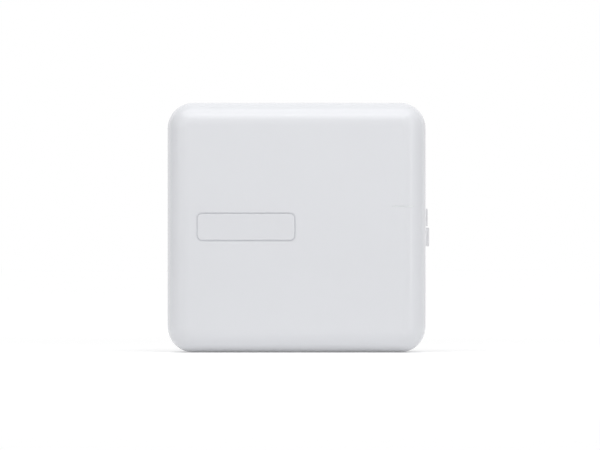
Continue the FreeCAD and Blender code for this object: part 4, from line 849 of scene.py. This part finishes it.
@dataclass
class Enclosure(Assembly):
    """The case: cover, back box, name plate, light guide, hinge pins and screws."""

    kept = {
        CASE_WHITE: ("back_box", "front_cover"),
        # The side keys get a lighter copy of the case plastic: painted light against the shade beside the
        # cover.
        KEY_WHITE_PAINTED_LIGHT: ("side_key_upper", "side_key_lower"),
        PLATE_WHITE: ("name_plate",),
        LIGHT_CLEAR: ("status_light_guide",),
        ZINC: ("hinge_pins", "cover_screw"),
    }

    cover_front: float = 75.0
    bead: float = 0.115
    bead_depth: float = 0.8
    bead_sink: float = 0.03

    def pieces(self) -> None:
        """The clear bead that seals the light guide in its slit, just behind the cover's face."""
        box = solids("status_light_guide")[0]
        corners = [vertex.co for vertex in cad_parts["status_light_guide"].data.vertices]
        face = {
            (round(corner.x / MM, 3), round(-corner.y / MM, 3))
            for corner in corners
            if -corner.y / MM > self.cover_front and corner.z / MM > box.top - 0.01
        }
        outline = [(across, forward - self.bead_sink) for across, forward in sorted(face)]
        outline += [(across, forward - self.bead_depth) for across, forward in sorted(face, reverse=True)]
        form = Form("light_guide_bead")
        for start, end in ((box.top, box.top + self.bead), (box.bottom - self.bead, box.bottom)):
            form.extruded(outline, start, end, LIGHT_CLEAR, Axis.UP)
        form.place(Body.COVER, "light_clear")


@dataclass
class KeyBoard(Assembly):
    """The small board behind the side keys."""

    kept = {
        BOARD_GREEN: ("key_board",),
        ZINC: ("key_board_screws",),
        PART_BLACK: ("key_switches", "tamper_switch", "key_plunger_upper", "key_plunger_lower"),
        SOCKET_WHITE: ("tamper_plunger",),
    }

    face: float = 31.5
    skin: float = 0.06
    track: float = 0.5
    lens_radius: float = 1.15
    lens_height: float = 0.45
    routes: tuple[Route, ...] = (
        ((92.0, 16.0), (92.0, 28.0), (98.0, 34.0), (98.0, 41.0), (101.0, 41.0)),
        ((93.5, 16.0), (93.5, 24.0), (98.5, 26.5), (107.5, 26.5), (111.9, 24.0), (111.9, 22.8)),
        ((95.0, 16.0), (95.0, 21.3), (100.4, 21.3)),
        ((96.5, 16.0), (96.5, 17.0), (104.0, 17.0), (110.5, 10.2), (113.0, 10.2)),
        ((96.5, 4.0), (96.5, 2.0), (100.0, -1.5), (108.0, -9.4), (113.0, -9.4)),
        ((92.0, 4.0), (92.0, -6.0), (98.0, -12.0), (110.0, -12.0)),
        ((113.4, 21.3), (117.4, 25.3), (117.4, 38.0), (111.0, 41.0), (107.0, 41.0)),
    )

    def lamps(self) -> None:
        """Two surface lamps with domed lenses behind the light guide's foot."""
        form = Form("status_lamp_bodies")
        radius, height = self.lens_radius, self.lens_height
        dome = [(0, 0), (radius, 0), (radius, 0.15), (0.85, 0.35), (0.4, 0.44), (0, height)]
        for box in solids("status_lamps"):
            form.block(box.moved(front=-height), SOCKET_WHITE, 0.15)
            form.turned(dome, box.on_front(sink=height), LAMP_RED, sides=20)
        form.place(Body.BASE, "lamp", "status_lamps")

    def tracks(self) -> None:
        """Copper tracks from the socket to the switches, the lamps and the tamper switch."""
        form = Form("key_board_tracks")
        ring = [(0, 0.05), (0.75, 0.05), (0.85, 0.1), (0.8, 0.16), (0, 0.14)]
        for route in self.routes:
            form.ribbon(route, self.track, self.face, self.skin, TRACK_GREEN)
            for across, up in (route[0], route[-1]):
                form.turned(ring, (across, self.face - 0.02, up), TIN, sides=16)
        form.place(Body.BASE, "board_green")

    def pieces(self) -> None:
        """Makes the lamps and the tracks."""
        self.lamps()
        self.tracks()


@dataclass
class MainBoard(Assembly):
    """The main board and what is soldered to it."""

    kept = {
        BOARD_GREEN: ("main_board", "radio_module"),
        TERMINAL_GREEN: ("zone_terminals", "output_terminals"),
        PART_BLACK: ("clock_cell_holder",),
        HEAT_SINK: ("heat_sink",),
        TIN: ("fuse_clips", "battery_tabs"),
        CAN_METAL: ("network_jack",),
        ZINC: ("board_screws",),
    }

    face: float = 14.2
    right_edge: float = 79.6
    zone_columns: Line = (16, -85.5, 5)
    output_columns: Line = (14, 0.5, 5)
    skin: float = 0.07
    track: float = 0.4
    track_corner: float = 1.2
    print_width: float = 0.22
    print_rise: float = 0.05
    print_margin: float = 0.7
    pins_per_side: int = 16
    pin_pitch: float = 0.8
    leg_width: float = 0.34
    leg_shape: Route = (
        (-0.1, 0.75), (0.3, 0.75), (0.5, 0.15), (0.95, 0.15),
        (0.95, 0.0), (0.4, 0.0), (0.2, 0.6), (-0.1, 0.6),
    )  # fmt: skip
    header_pins: int = 11
    header_pitch: float = 2.54
    contact_count: int = 8
    contact_pitch: float = 1.1
    chip_size: Triple = (2.0, 1.2, 0.55)
    diode_size: Triple = (4.4, 2.5, 1.9)

    def trace(self, form: Form, points: Sequence[Pair]) -> None:
        """Lays one thin track."""
        form.ribbon(points, self.track, self.face, self.skin, TRACK_GREEN)

    def bundle(
        self, form: Form, starts: Sequence[Pair], ends: Sequence[Pair], level: float, pitch: float
    ) -> None:
        """Tracks that run side by side: down, across and down again, with their corners cut.

        Args:
            form: The form they join.
            starts: Where they start, from left to right.
            ends: Where they end, from left to right.
            level: The height of the first one's run across.
            pitch: The distance between the runs.
        """
        for number, ((x0, z0), (x1, z1)) in enumerate(zip(starts, ends)):
            run = level + pitch * (number if x1 > x0 else len(starts) - number)
            cut = min(self.track_corner, abs(x1 - x0) / 3 + 0.01)
            way = math.copysign(cut, x1 - x0)
            across = ((x0 + way, run), (x1 - way, run))
            self.trace(form, [(x0, z0), (x0, run + cut), *across, (x1, run - cut), (x1, z1)])

    def tracks(self) -> None:
        """The board's tracks, pads and printed outlines."""
        form = Form("board_tracks")
        zone, output = (row(*columns, 78.6) for columns in (self.zone_columns, self.output_columns))
        self.bundle(form, zone[:13], row(13, -26.0, self.pin_pitch, 49.2), 52.5, 1.15)
        self.bundle(form, output[5:12], row(7, 27.5, 2.0, 65.8), 67.2, 0.9)
        sides = steps(8, 36.2, self.pin_pitch)
        for number, up in enumerate(sides):
            out = -27.4 - 2.0 - self.pin_pitch * number
            run = 30.0 - self.pin_pitch * number
            self.trace(form, [(-27.4, up), (out, up), (out, run), (-60.0 + number, run)])
        for up in sides:
            self.trace(form, [(-12.8, up), (-5.4, up)])
        self.bundle(form, row(12, -26.0, self.pin_pitch, 34.8), row(12, -24.0, 2.4, 14.2), 18.0, 0.9)
        self.wide_tracks(form)
        for across, up in zone + output:
            joint = [(0, 0), (0.85, 0), (0.85, 0.08), (0.51, 0.2), (0.2125, 0.55), (0, 0.6)]
            form.turned(joint, (across, self.face - 0.01, up), TIN, sides=14)
        self.outlines(form)
        form.place(Body.BASE, "board_green")

    def wide_tracks(self, form: Form) -> None:
        """The tracks that carry the supply.

        Args:
            form: The form they join.
        """
        routes = (
            (2.4, (18.0, 2.2), (18.0, 5.0), (-6.0, 5.0), (-8.0, 3.0), (-9.0, 0.5)),
            (2.4, (34.0, 2.2), (34.0, 12.0), (26.0, 20.0), (22.0, 32.0), (22.0, 44.0), (26.0, 46.0)),
            (2.4, (-80.0, 12.0), (-79.0, 12.0)),
            (2.0, (-56.0, -3.0), (-56.0, 2.6), (-44.0, 2.6), (-34.0, 4.0), (-30.0, 9.0)),
            (2.4, (-64.0, 14.0), (-58.0, 14.0), (-52.5, 14.0)),
            (1.2, (60.0, 28.0), (64.0, 28.0)),
            (1.2, (44.0, 43.5), (44.0, 34.0), (52.0, 32.0)),
        )
        for width, *route in routes:
            form.ribbon(route, width, self.face, self.skin * 0.9, TRACK_GREEN)

    def outlines(self, form: Form) -> None:
        """Printed outlines round the larger parts; those that reach the board's edge stay open there.

        Args:
            form: The form they join.
        """
        names = "relays", "capacitors", "board_chips", "network_jack", "fuse_clips", "lead_sockets", "buzzer"
        for box in (box for name in names for box in solids(name)):
            if abs(box.rear - self.face) > 0.1:
                continue
            edge = box.inset(-self.print_margin, -self.print_margin)
            left, right, bottom, top = edge.left, edge.right, edge.bottom, edge.top
            line = [(left, bottom), (right, bottom), (right, top), (left, top), (left, bottom)]
            if right > self.right_edge:
                line = [(self.right_edge, bottom), (left, bottom), (left, top), (self.right_edge, top)]
            form.ribbon(line, self.print_width, self.face, self.print_rise, PRINT_WHITE)

    def chips(self) -> None:
        """The processor with legs on four sides and two memories with legs on two."""
        form = Form("chip_packages")
        dimple = [(0, 0.0), (0.55, 0.0), (0.62, 0.04), (0.42, 0.045), (0.35, 0.01), (0, 0.01)]
        for box in solids("board_chips"):
            square = abs(box.width - box.height) < 0.1
            body = (box.inset(1.0, 1.0) if square else box.inset(1.35, 0.05)).moved(rear=0.12)
            form.block(body, PART_BLACK, 0.16)
            form.turned(dimple, (body.left + 1.2, box.front - 0.02, body.top - 1.2), STRIPE_GREY, sides=16)
            across, up = box.middle
            count, pitch = (self.pins_per_side, self.pin_pitch) if square else (4, 1.2)
            for offset in spread(count, pitch):
                for side in (-1, 1):
                    self.leg(form, across + side * body.width / 2, side, up + offset, Axis.UP)
                    if square:
                        self.leg(form, up + side * body.height / 2, side, across + offset, Axis.RIGHT)
        form.place(Body.BASE, "part_black", "board_chips")

    def leg(self, form: Form, root: float, side: int, middle: float, axis: Axis) -> None:
        """One bent leg.

        Args:
            form: The form it joins.
            root: Where it leaves the package.
            side: Which way it points, -1 or 1.
            middle: Its middle along the package's side.
            axis: The axis along the package's side.
        """
        outline = [(root + side * out, self.face + rise) for out, rise in self.leg_shape]
        if axis is Axis.RIGHT:
            outline = [(forward, up) for up, forward in outline]
        form.extruded(outline, *around(middle, self.leg_width / 2), TIN, axis)

    def capacitors(self) -> None:
        """Aluminium capacitors: a grooved sleeve with its stripe, and a vented top."""
        form = Form("capacitor_cans")
        for box in solids("capacitors"):
            radius, height = box.width / 2, box.rise
            groove = 0.14 * height
            sleeve = [
                (0, 0), (radius - 0.5, 0), (radius - 0.12, 0.25), (radius, 0.8), (radius, groove),
                (radius - 0.3, groove + 0.35), (radius - 0.3, groove + 0.6), (radius, groove + 1.0),
                (radius, height - 0.9), (radius - 0.2, height - 0.35), (radius - 0.6, height - 0.1),
                (radius - 1.0, height - 0.08), (radius - 1.1, height - 0.4), (0, height - 0.4),
            ]  # fmt: skip
            faces = form.turned(sleeve, box.seat, SLEEVE_BLUE, sides=40)
            stripe = form.number(STRIPE_GREY)
            centre = spot(*box.seat)
            for face in faces:
                way = face.calc_center_median() - centre
                if way.x > 0 and abs(way.z) < 0.32 * radius * MM and -way.y < (height - 1.0) * MM:
                    face.material_index = stripe
            across, up = box.middle
            start = box.rear + height - 0.42
            for quarter in range(4):
                angles = [math.pi / 2 * (quarter + share) for share in (0.04, 0.2, 0.4, 0.6, 0.8, 0.96)]
                places = [(radius - 1.15, angle) for angle in angles]
                places.append((0.2, math.pi / 2 * (quarter + 0.5)))
                outline = [(across + out * math.cos(turn), up + out * math.sin(turn)) for out, turn in places]
                form.extruded(outline, start, start + 0.22, BARE_ALUMINIUM)
        form.place(Body.BASE, "capacitor_sleeve", "capacitors")

    def relays(self) -> None:
        """Two relays: a sealed case on a wider base, with a vent nib and a recessed top."""
        form = Form("relay_cases")
        nib = [(0, 0), (0.9, 0), (0.9, 0.3), (0.7, 0.38), (0.35, 0.38), (0.3, 0.2), (0, 0.2)]
        for box in solids("relays"):
            form.block(box.from_rear(0, 1.4), RELAY_BLUE, 0.3)
            form.block(box.inset(0.25, 0.25).moved(rear=1.2, front=-0.3), RELAY_BLUE, 0.55, 3)
            form.block(box.inset(1.5, 1.5).from_front(-0.5, -0.12), RELAY_BLUE, 0.12)
            form.turned(nib, (box.left + 3.0, box.front - 0.42, box.top - 3.0), RELAY_BLUE, sides=16)
        form.place(Body.BASE, "relay_blue", "relays")

    def buzzer(self) -> None:
        """The buzzer's case, with a sound hole in its stepped top."""
        form = Form("buzzer_case")
        shell = [
            (0, 0), (6.5, 0), (6.5, 0.8), (6.9, 1.0), (7.0, 1.4), (7.0, 7.9), (6.8, 8.4), (6.3, 8.8),
            (5.6, 9.0), (4.3, 9.0), (4.2, 8.8), (4.0, 8.8), (3.9, 9.0), (1.9, 9.0), (1.6, 8.8), (1.3, 8.3),
            (1.3, 6.2), (0, 6.2),
        ]  # fmt: skip
        form.turned(shell, solids("buzzer")[0].seat, PART_BLACK, sides=40)
        form.place(Body.BASE, "part_black", "buzzer")

    def lamps(self) -> None:
        """The status lamps' domes, each on its flange."""
        form = Form("status_lamp_domes")
        dome = [
            (0, 0), (1.48, 0), (1.48, 0.8), (1.32, 0.95), (1.3, 3.6), (1.2, 4.15), (0.95, 4.6), (0.5, 4.9),
            (0, 5.0),
        ]  # fmt: skip
        for box in solids("status_leds"):
            form.turned(dome, box.seat, LAMP_RED, sides=20)
        form.place(Body.BASE, "lamp", "status_leds")

    def clock_cell(self) -> None:
        """The clock's cell with the clip that holds it."""
        box = solids("clock_cell")[0]
        form = Form("clock_cell_can")
        can = [
            (0, 0), (8.6, 0), (9.0, 0.25), (9.2, 0.5), (9.8, 0.6), (10.0, 0.9), (10.0, 2.9), (9.85, 3.12),
            (9.5, 3.2), (8.9, 3.2), (8.75, 3.1), (8.6, 3.1), (8.45, 3.18), (0, 3.18),
        ]  # fmt: skip
        form.turned(can, box.seat, CAN_METAL, sides=48)
        clip = [
            (12.5, 0.0), (12.5, 4.6), (12.0, 4.9), (2.2, 4.35), (1.0, 4.95), (0.9, 4.75), (2.2, 4.1),
            (12.1, 4.6), (12.2, 0.0),
        ]  # fmt: skip
        across, up = box.middle
        outline = [(across + out, self.face + rise) for out, rise in clip]
        form.extruded(outline, *around(up, 2.0), TIN, Axis.UP)
        form.place(Body.BASE, "can_metal", "clock_cell")

    def aerial(self) -> None:
        """The stub aerial: a nut, a ferrule and a tapered rubber stub with two grooves."""
        form = Form("stub_aerial")
        nut = [(0, 0), (2.98, 0), (2.98, 2.0), (2.7, 2.3), (0, 2.3)]
        ferrule = [(0, 2.2), (2.3, 2.2), (2.3, 2.8), (2.75, 2.9), (2.75, 7.0), (2.3, 7.3), (0, 7.3)]
        stub = [
            (0, 7.2), (2.5, 7.2), (2.6, 7.5), (2.6, 8.6), (2.3, 8.8), (2.3, 9.2), (2.6, 9.4), (2.6, 10.4),
            (2.3, 10.6), (2.3, 11.0), (2.6, 11.2), (2.05, 28.6), (1.8, 29.4), (1.2, 29.85), (0, 30.0),
        ]  # fmt: skip
        for profile, finish, sides in ((nut, BRASS, 6), (ferrule, BRASS, 24), (stub, AERIAL_RUBBER, 28)):
            form.turned(profile, solids("radio_antenna")[0].seat, finish, sides=sides)
        form.place(Body.BASE, "part_black", "radio_antenna")

    def radio(self) -> None:
        """The radio's shield, with shallow dents in its lid."""
        box = solids("radio_can")[0]
        form = Form("radio_shield")
        form.block(box.from_rear(0, 0.9), CAN_METAL, 0.12)
        form.block(box.inset(0.2, 0.2).moved(rear=0.7), CAN_METAL, 0.45, 3)
        dent = [(0, 0), (0.75, 0), (0.8, 0.05), (0.5, 0.06), (0, 0.03)]
        for column in (-1, 1):
            for line in (-1, 0, 1):
                form.turned(dent, box.on_front(column * 8.5, line * 7.0, 0.02), CAN_METAL, sides=14)
        form.place(Body.BASE, "can_metal", "radio_can")

    def header(self) -> None:
        """The header of pins and sockets under the radio's module."""
        box = solids("module_header")[0]
        form = Form("module_pins")
        form.block(box.from_rear(0, 5.0), PART_BLACK, 0.2)
        form.block(box.from_front(-2.5, 0), PART_BLACK, 0.2)
        for across in steps(self.header_pins, box.left + 1.3, self.header_pitch):
            for up in (box.bottom + 1.23, box.top - 1.23):
                pin = Extent(*around(across, 0.32), box.rear + 4.5, box.front - 2.0, *around(up, 0.32))
                form.block(pin, BRASS)
        form.place(Body.BASE, "part_black", "module_header")

    def fuses(self) -> None:
        """Glass fuses with end caps and a wire."""
        form = Form("glass_fuses")
        cap = [(0, 0), (2.3, 0), (2.58, 0.3), (2.58, 5.3), (2.4, 5.5), (0, 5.5)]
        for box in solids("board_fuses"):
            far = box.width
            foot = (box.left, box.halfway, box.middle[1])
            for start, sign in ((0.0, 1), (far, -1)):
                profile = [(radius, start + sign * height) for radius, height in cap]
                form.turned(profile, foot, TIN, Axis.RIGHT)
            for radius, start, finish, sides in ((2.35, 5.4, FUSE_GLASS, 28), (0.2, 5.2, BRASS, 8)):
                profile = [(0, start), (radius, start), (radius, far - start), (0, far - start)]
                form.turned(profile, foot, finish, Axis.RIGHT, sides)
        form.place(Body.BASE, "fuse_glass", "board_fuses")

    def regulator(self) -> None:
        """The regulator with its tab, screw and legs."""
        box = solids("regulator")[0]
        form = Form("regulator_package")
        slim = box.inset(0, 0.1)
        form.block(slim.moved(left=1.0).from_rear(3.2, 10.2), PART_BLACK, 0.25)
        form.block(replace(slim, right=box.left + 1.3, rear=box.rear + 3.4), TIN, 0.15)
        head = [(0, 0), (2.4, 0), (2.4, 0.9), (1.9, 1.5), (0.9, 1.8), (0.5, 1.2), (0, 1.2)]
        up = box.middle[1]
        form.turned(head, (box.left + 1.2, box.rear + 12.6, up), ZINC, Axis.RIGHT, 24)
        for middle in spread(3, 2.54, up):
            leg = Extent(box.left + 1.6, box.left + 2.1, box.rear, box.rear + 3.5, *around(middle, 0.4))
            form.block(leg, TIN, 0.08)
        form.place(Body.BASE, "part_black", "regulator")

    def plugs(self) -> None:
        """Ribbed plugs in their shrouded sockets."""
        form = Form("lead_plugs")
        for box in solids("lead_sockets"):
            form.block(box.from_rear(0, 5.2), SOCKET_WHITE, 0.3)
            form.block(box.inset(0.8, 0.6).moved(rear=4.8), SOCKET_WHITE, 0.35)
            rear, up = box.rear + 5.1, box.middle[1]
            for middle in spread(3, 2.5, up):
                rib = Extent(box.right - 0.85, box.right - 0.3, rear, box.front - 0.4, *around(middle, 0.5))
                form.block(rib, SOCKET_WHITE, 0.12)
            latch = Extent(box.left + 0.2, box.left + 0.85, rear, box.front - 0.8, *around(up, 2.0))
            form.block(latch, SOCKET_WHITE, 0.15)
        form.place(Body.BASE, "socket_white", "lead_sockets")

    def jack(self) -> None:
        """The network jack's sprung contacts and its two lamp windows."""
        box = solids("network_jack")[0]
        form = Form("jack_contacts")
        bend, tip = box.left + 6.1, box.right - 1.5
        wire = [(bend, 24.0), (tip, 19.6), (tip, 19.2), (bend, 23.5)]
        for middle in spread(self.contact_count, self.contact_pitch, box.middle[1]):
            form.extruded(wire, *around(middle, 0.22), BRASS, Axis.UP)
        depth = around(box.front, 0.1, 0.12)
        for middle in (box.bottom + 2.6, box.top - 2.6):
            window = Extent(box.right - 4.2, box.right - 1.2, *depth, *around(middle, 1.3))
            form.block(window, LIGHT_CLEAR, 0.1)
        form.place(Body.BASE, "brass")

    def screws(self) -> None:
        """The clamping screws in the terminal rows, each turned its own way."""
        form = Form("clamp_screws")
        for number, box in enumerate(solids("terminal_screws")):
            form.slotted_head(box, TIN, 0.6, 0.7 + 2.4 * math.sin(number * 1.7))
        form.place(Body.BASE, "tin", "terminal_screws")

    def small_parts(self) -> None:
        """Chip resistors, capacitors and diodes, with the soldered ends that hold them."""
        form = Form("surface_parts")
        chip, diode = self.chip_size, self.diode_size
        rows = (
            (chip, CERAMIC, False, self.zone_columns, (1, 76.0, 0)),
            (chip, CERAMIC, False, self.output_columns, (1, 76.0, 0)),
            (chip, CERAMIC, False, (5, -8.0, 6), (1, 65.6, 0)),
            (chip, CERAMIC_TAN, True, (1, -30.6, 0), (3, 47.0, 1.9)),
            (chip, CERAMIC_TAN, False, (3, -31.5, 3.4), (1, 30.6, 0)),
            (chip, CERAMIC, True, (3, 8.0, 3.4), (3, 36.0, 2.2)),
            (chip, CERAMIC_TAN, True, (3, 8.0, 3.4), (1, 47.0, 0)),
            (chip, CERAMIC, False, (6, 40.0, 4.2), (1, 9.0, 0)),
            (chip, CERAMIC_TAN, False, (6, 40.0, 4.2), (1, 5.2, 0)),
            (chip, CERAMIC, False, (4, 66.0, 3.0), (1, 44.0, 0)),
            (chip, CERAMIC_TAN, False, (4, 66.0, 3.0), (1, 56.0, 0)),
            (diode, PART_BLACK, True, (2, 30.0, 6.0), (1, 42.5, 0)),
            (diode, PART_BLACK, True, (2, 49.0, 7.0), (1, 42.5, 0)),
            (diode, PART_BLACK, True, (2, 6.0, 6.0), (1, 55.0, 0)),
        )
        for size, finish, lying, columns, lines in rows:
            for up in steps(*lines):
                for across in steps(*columns):
                    self.chip_part(form, (across, up), lying, finish, size)
        crystal = Extent(-36.5, -33.5, self.face, self.face + 1.1, 54.0, 59.0)
        form.block(crystal, CAN_METAL, 0.3, 3)
        form.place(Body.BASE, "part_black")

    def chip_part(self, form: Form, middle: Pair, lying: bool, finish: Finish, size: Triple) -> None:
        """One part with soldered ends.

        Args:
            form: The form it joins.
            middle: Its place, as (across, up).
            lying: Whether its length lies across.
            finish: The finish of its body.
            size: Its length, width and height.
        """
        length, width, height = size
        across, up = middle
        half, end = length / 2, length * 0.2
        for start, stop, wide, high, skin in (
            (-half + end * 0.8, half - end * 0.8, width * 0.96, height, finish),
            (-half, -half + end, width, height * 1.03, TIN),
            (half - end, half, width, height * 1.03, TIN),
        ):
            if lying:
                sides = (across + start, across + stop), around(up, wide / 2)
            else:
                sides = around(across, wide / 2), (up + start, up + stop)
            form.block(Extent(*sides[0], self.face, self.face + high, *sides[1]), skin, 0.08, 1)

    def pieces(self) -> None:
        """Makes the board's pieces."""
        self.tracks()
        self.chips()
        self.capacitors()
        self.relays()
        self.buzzer()
        self.lamps()
        self.clock_cell()
        self.aerial()
        self.radio()
        self.header()
        self.fuses()
        self.regulator()
        self.plugs()
        self.jack()
        self.screws()
        self.small_parts()


@dataclass
class PowerSupply(Assembly):
    """The battery with its bracket, the transformer and the mains terminal."""

    kept = {
        BATTERY_GREY: ("battery_case",),
        BATTERY_LID_GREY: ("battery_lid",),
        TIN: ("battery_terminals",),
        ZINC: ("battery_bracket", "bracket_screws", "transformer_strap", "transformer_screws"),
        CORE_STEEL: ("transformer_core",),
        BOBBIN_CREAM: ("transformer_bobbin",),
        COIL_TAPE: ("transformer_coil",),
        SOCKET_WHITE: ("mains_terminal",),
    }

    vent_count: int = 6
    vent_radius: float = 7.0
    vent_setback: float = 6.0
    ring_half: Pair = (6.0, 4.2)
    ring_wall: float = 0.8
    film_margins: Triple = (9.0, 8.0, 7.0)
    film_gap: Pair = (-84.0, -60.0)

    def fittings(self) -> None:
        """The vent covers in the battery's lid, and the rings round its blades."""
        lid = solids("battery_lid")[0]
        form = Form("battery_fittings")
        rim = self.vent_radius
        cap = [(0, -0.3), (rim, -0.3), (rim, 0.25), (6.6, 0.5), (5.6, 0.5), (5.4, 0.3), (0, 0.3)]
        for number in range(self.vent_count):
            across = lid.left + lid.width * (number + 1.0) / (self.vent_count + 1)
            foot = (across, lid.halfway - self.vent_setback, lid.top)
            form.turned(cap, foot, BATTERY_LID_GREY, Axis.UP, 32)
        half, deep = self.ring_half
        wall, rise = self.ring_wall, around(lid.top, 0.3, 0.8)
        for blade, finish in zip(solids("battery_terminals"), (BATTERY_GREY, RING_RED)):
            across, forward = blade.middle[0], blade.halfway
            for side in (-1, 1):
                bar = Extent(*around(across, half), *around(forward + side * deep, wall), *rise)
                form.block(bar, finish, 0.3)
                post = Extent(*around(across + side * (half - wall), wall), *around(forward, deep), *rise)
                form.block(post, finish, 0.3)
        form.place(Body.BASE, "battery_lid")

    def film(self) -> None:
        """Two bands of bare silver film on the battery's front, above and below the bracket."""
        case = solids("battery_case")[0]
        form = Form("battery_film")
        side, low, high = self.film_margins
        lower = (case.bottom + low, self.film_gap[0])
        upper = (self.film_gap[1], case.top - high)
        for bottom, top in (lower, upper):
            band = replace(case.inset(side, 0).from_front(-0.1, 0.12), bottom=bottom, top=top)
            form.block(band, FILM_SILVER, 0.06, 1)
        form.place(Body.BASE, "battery_case")

    def terminal(self) -> None:
        """The mains terminal's slotted screws."""
        form = Form("mains_clamp_screws")
        for number, box in enumerate(solids("mains_terminal_screws")):
            form.slotted_head(box, BRASS, 0.9, 0.4 + 1.3 * number)
        form.place(Body.BASE, "brass", "mains_terminal_screws")

    def pieces(self) -> None:
        """Makes the supply's pieces."""
        self.fittings()
        self.film()
        self.terminal()


@dataclass
class Wiring(Assembly):
    """The leads between the battery, the transformer and the boards."""

    kept = {
        LEAD_RED: ("battery_lead_red", "positive_sleeves"),
        LEAD_BLACK: ("battery_lead_black", "negative_sleeves"),
        LEAD_BROWN: ("primary_leads",),
        LEAD_YELLOW: ("secondary_leads",),
        LEAD_GREY: ("key_board_leads",),
    }


@dataclass
class Studio:
    """The pale floor, the even light from all round, the lamps and the camera."""

    lens: float = 476.6
    distance: float = 8.0
    aim: Triple = (0.00338, -0.062, 0.00262)
    floor_half: float = 14.0
    floor_tone: Pair = (0.93, 0.95)
    glow_reach: Pair = (0.3, 1.6)
    glow_levels: Pair = (0.26, 0.48)
    front_light: float = 0.512
    side_light: float = 0.81
    gloss_side: float = 0.2
    front_edge: float = 0.407
    front_blur: float = 0.03
    above_edge: Pair = (0.45, 0.87)
    lamp_aim: Triple = (0.0, -0.05, 0.0)
    lamps: tuple[tuple[str, Triple, Pair, float], ...] = (
        ("overhead", (0.0, -0.42, 0.95), (1.5, 0.7), 4.8),
        ("high_front", (0.0, -1.6, 1.6), (1.6, 1.0), 5.6),
        ("right_front", (1.25, -1.45, 0.1), (0.35, 1.3), 2.0),
    )

    def floor(self) -> None:
        """The floor that the panel stands on: white to the eye, with the panel's shadow kept."""
        mesh = bpy.data.meshes.new("floor")
        half = self.floor_half
        level = CAD_BOX[0][2]
        corners = [(-half, -half, level), (half, -half, level), (half, half, level), (-half, half, level)]
        mesh.from_pydata(corners, [], [(0, 1, 2, 3)])
        item = bpy.data.objects.new("floor", mesh)
        bpy.context.scene.collection.objects.link(item)
        graph = Graph("floor_satin")
        tone = graph.span(graph.noise(3.0, 3.0), NOISE_CORE, self.floor_tone)
        grey = graph.blend(tone, (0.0, 0.0, 0.0), (1.0, 1.0, 1.0))
        path = graph.add("ShaderNodeLightPath")
        away = graph.add("ShaderNodeVectorMath", {0: graph.place}, operation="LENGTH")["Value"]
        straight = graph.span(away, self.glow_reach, self.glow_levels)
        straight = graph.maths("MULTIPLY", path["Is Camera Ray"], straight)
        mirrored = graph.maths("MAXIMUM", path["Is Glossy Ray"], path["Is Transmission Ray"])
        mirrored = graph.maths("MULTIPLY", mirrored, self.glow_levels[1])
        strength = graph.maths("ADD", straight, mirrored)
        diffuse = graph.add("ShaderNodeBsdfDiffuse", {"Color": grey})["BSDF"]
        glow = graph.add("ShaderNodeEmission", {"Strength": strength})["Emission"]
        mesh.materials.append(graph.end(graph.add("ShaderNodeAddShader", {0: diffuse, 1: glow})["Shader"]))

    def world(self) -> None:
        """Light from all round, little of it in gloss from the sides, and white behind the panel."""
        world = bpy.data.worlds.new("studio")
        world.use_nodes = True
        bpy.context.scene.world = world
        sky = Nodes(world.node_tree)
        way = sky.add("ShaderNodeSeparateXYZ", {"Vector": sky.add("ShaderNodeTexCoord")["Generated"]})
        ahead = sky.maths("ABSOLUTE", way["Y"])
        front = sky.span(ahead, around(self.front_edge, self.front_blur), how="SMOOTHSTEP")
        above = sky.span(way["Z"], self.above_edge, how="SMOOTHSTEP")
        open_side = sky.maths("MAXIMUM", front, above)
        soft = sky.maths("MULTIPLY_ADD", open_side, self.front_light - self.side_light, self.side_light)
        gloss = sky.maths("MULTIPLY_ADD", open_side, 1.0 - self.gloss_side, self.gloss_side)
        path = sky.add("ShaderNodeLightPath")
        plain = sky.maths("MULTIPLY", sky.maths("SUBTRACT", 1.0, path["Is Glossy Ray"]), soft)
        lit = sky.maths("MULTIPLY_ADD", path["Is Glossy Ray"], gloss, plain)
        seen = sky.maths("MAXIMUM", path["Is Camera Ray"], path["Is Transmission Ray"])
        strength = sky.maths("MULTIPLY_ADD", sky.maths("SUBTRACT", 1.0, seen), lit, seen)
        background = world.node_tree.nodes["Background"]
        sky.feed(background.inputs["Strength"], strength)
        sky.feed(background.inputs["Color"], (1.0, 1.0, 1.0))

    def lamp(self, name: str, place: Triple, size: Pair, power: float) -> None:
        """One soft rectangular lamp that faces the panel.

        Args:
            name: The lamp's name.
            place: Where it hangs.
            size: Its width and height in metres.
            power: Its power in watts.
        """
        data = bpy.data.lights.new(name, "AREA")
        data.shape = "RECTANGLE"
        data.size, data.size_y = size
        data.energy = power
        item = bpy.data.objects.new(name, data)
        item.location = place
        item.rotation_euler = (Vector(self.lamp_aim) - Vector(place)).to_track_quat("-Z", "Y").to_euler()
        item.visible_camera = False
        bpy.context.scene.collection.objects.link(item)

    def camera(self) -> None:
        """The camera, square to the front."""
        data = bpy.data.cameras.new("camera")
        data.lens = self.lens
        item = bpy.data.objects.new("camera", data)
        x, y, z = self.aim
        item.location = (x, y - self.distance, z)
        item.rotation_euler = (math.pi / 2, 0, 0)
        bpy.context.scene.collection.objects.link(item)
        bpy.context.scene.camera = item

    def build(self) -> None:
        """Sets the stage."""
        self.floor()
        self.world()
        for lamp in self.lamps:
            self.lamp(*lamp)
        self.camera()
        bpy.context.scene.view_settings.view_transform = "Standard"


def main() -> None:
    """Dresses the panel, adds its fine pieces and sets the stage."""
    logging.basicConfig(level=logging.INFO, format="%(message)s")
    for assembly in (Enclosure(), KeyBoard(), MainBoard(), PowerSupply(), Wiring(), Studio()):
        assembly.build()


if __name__ == "__main__":
    main()
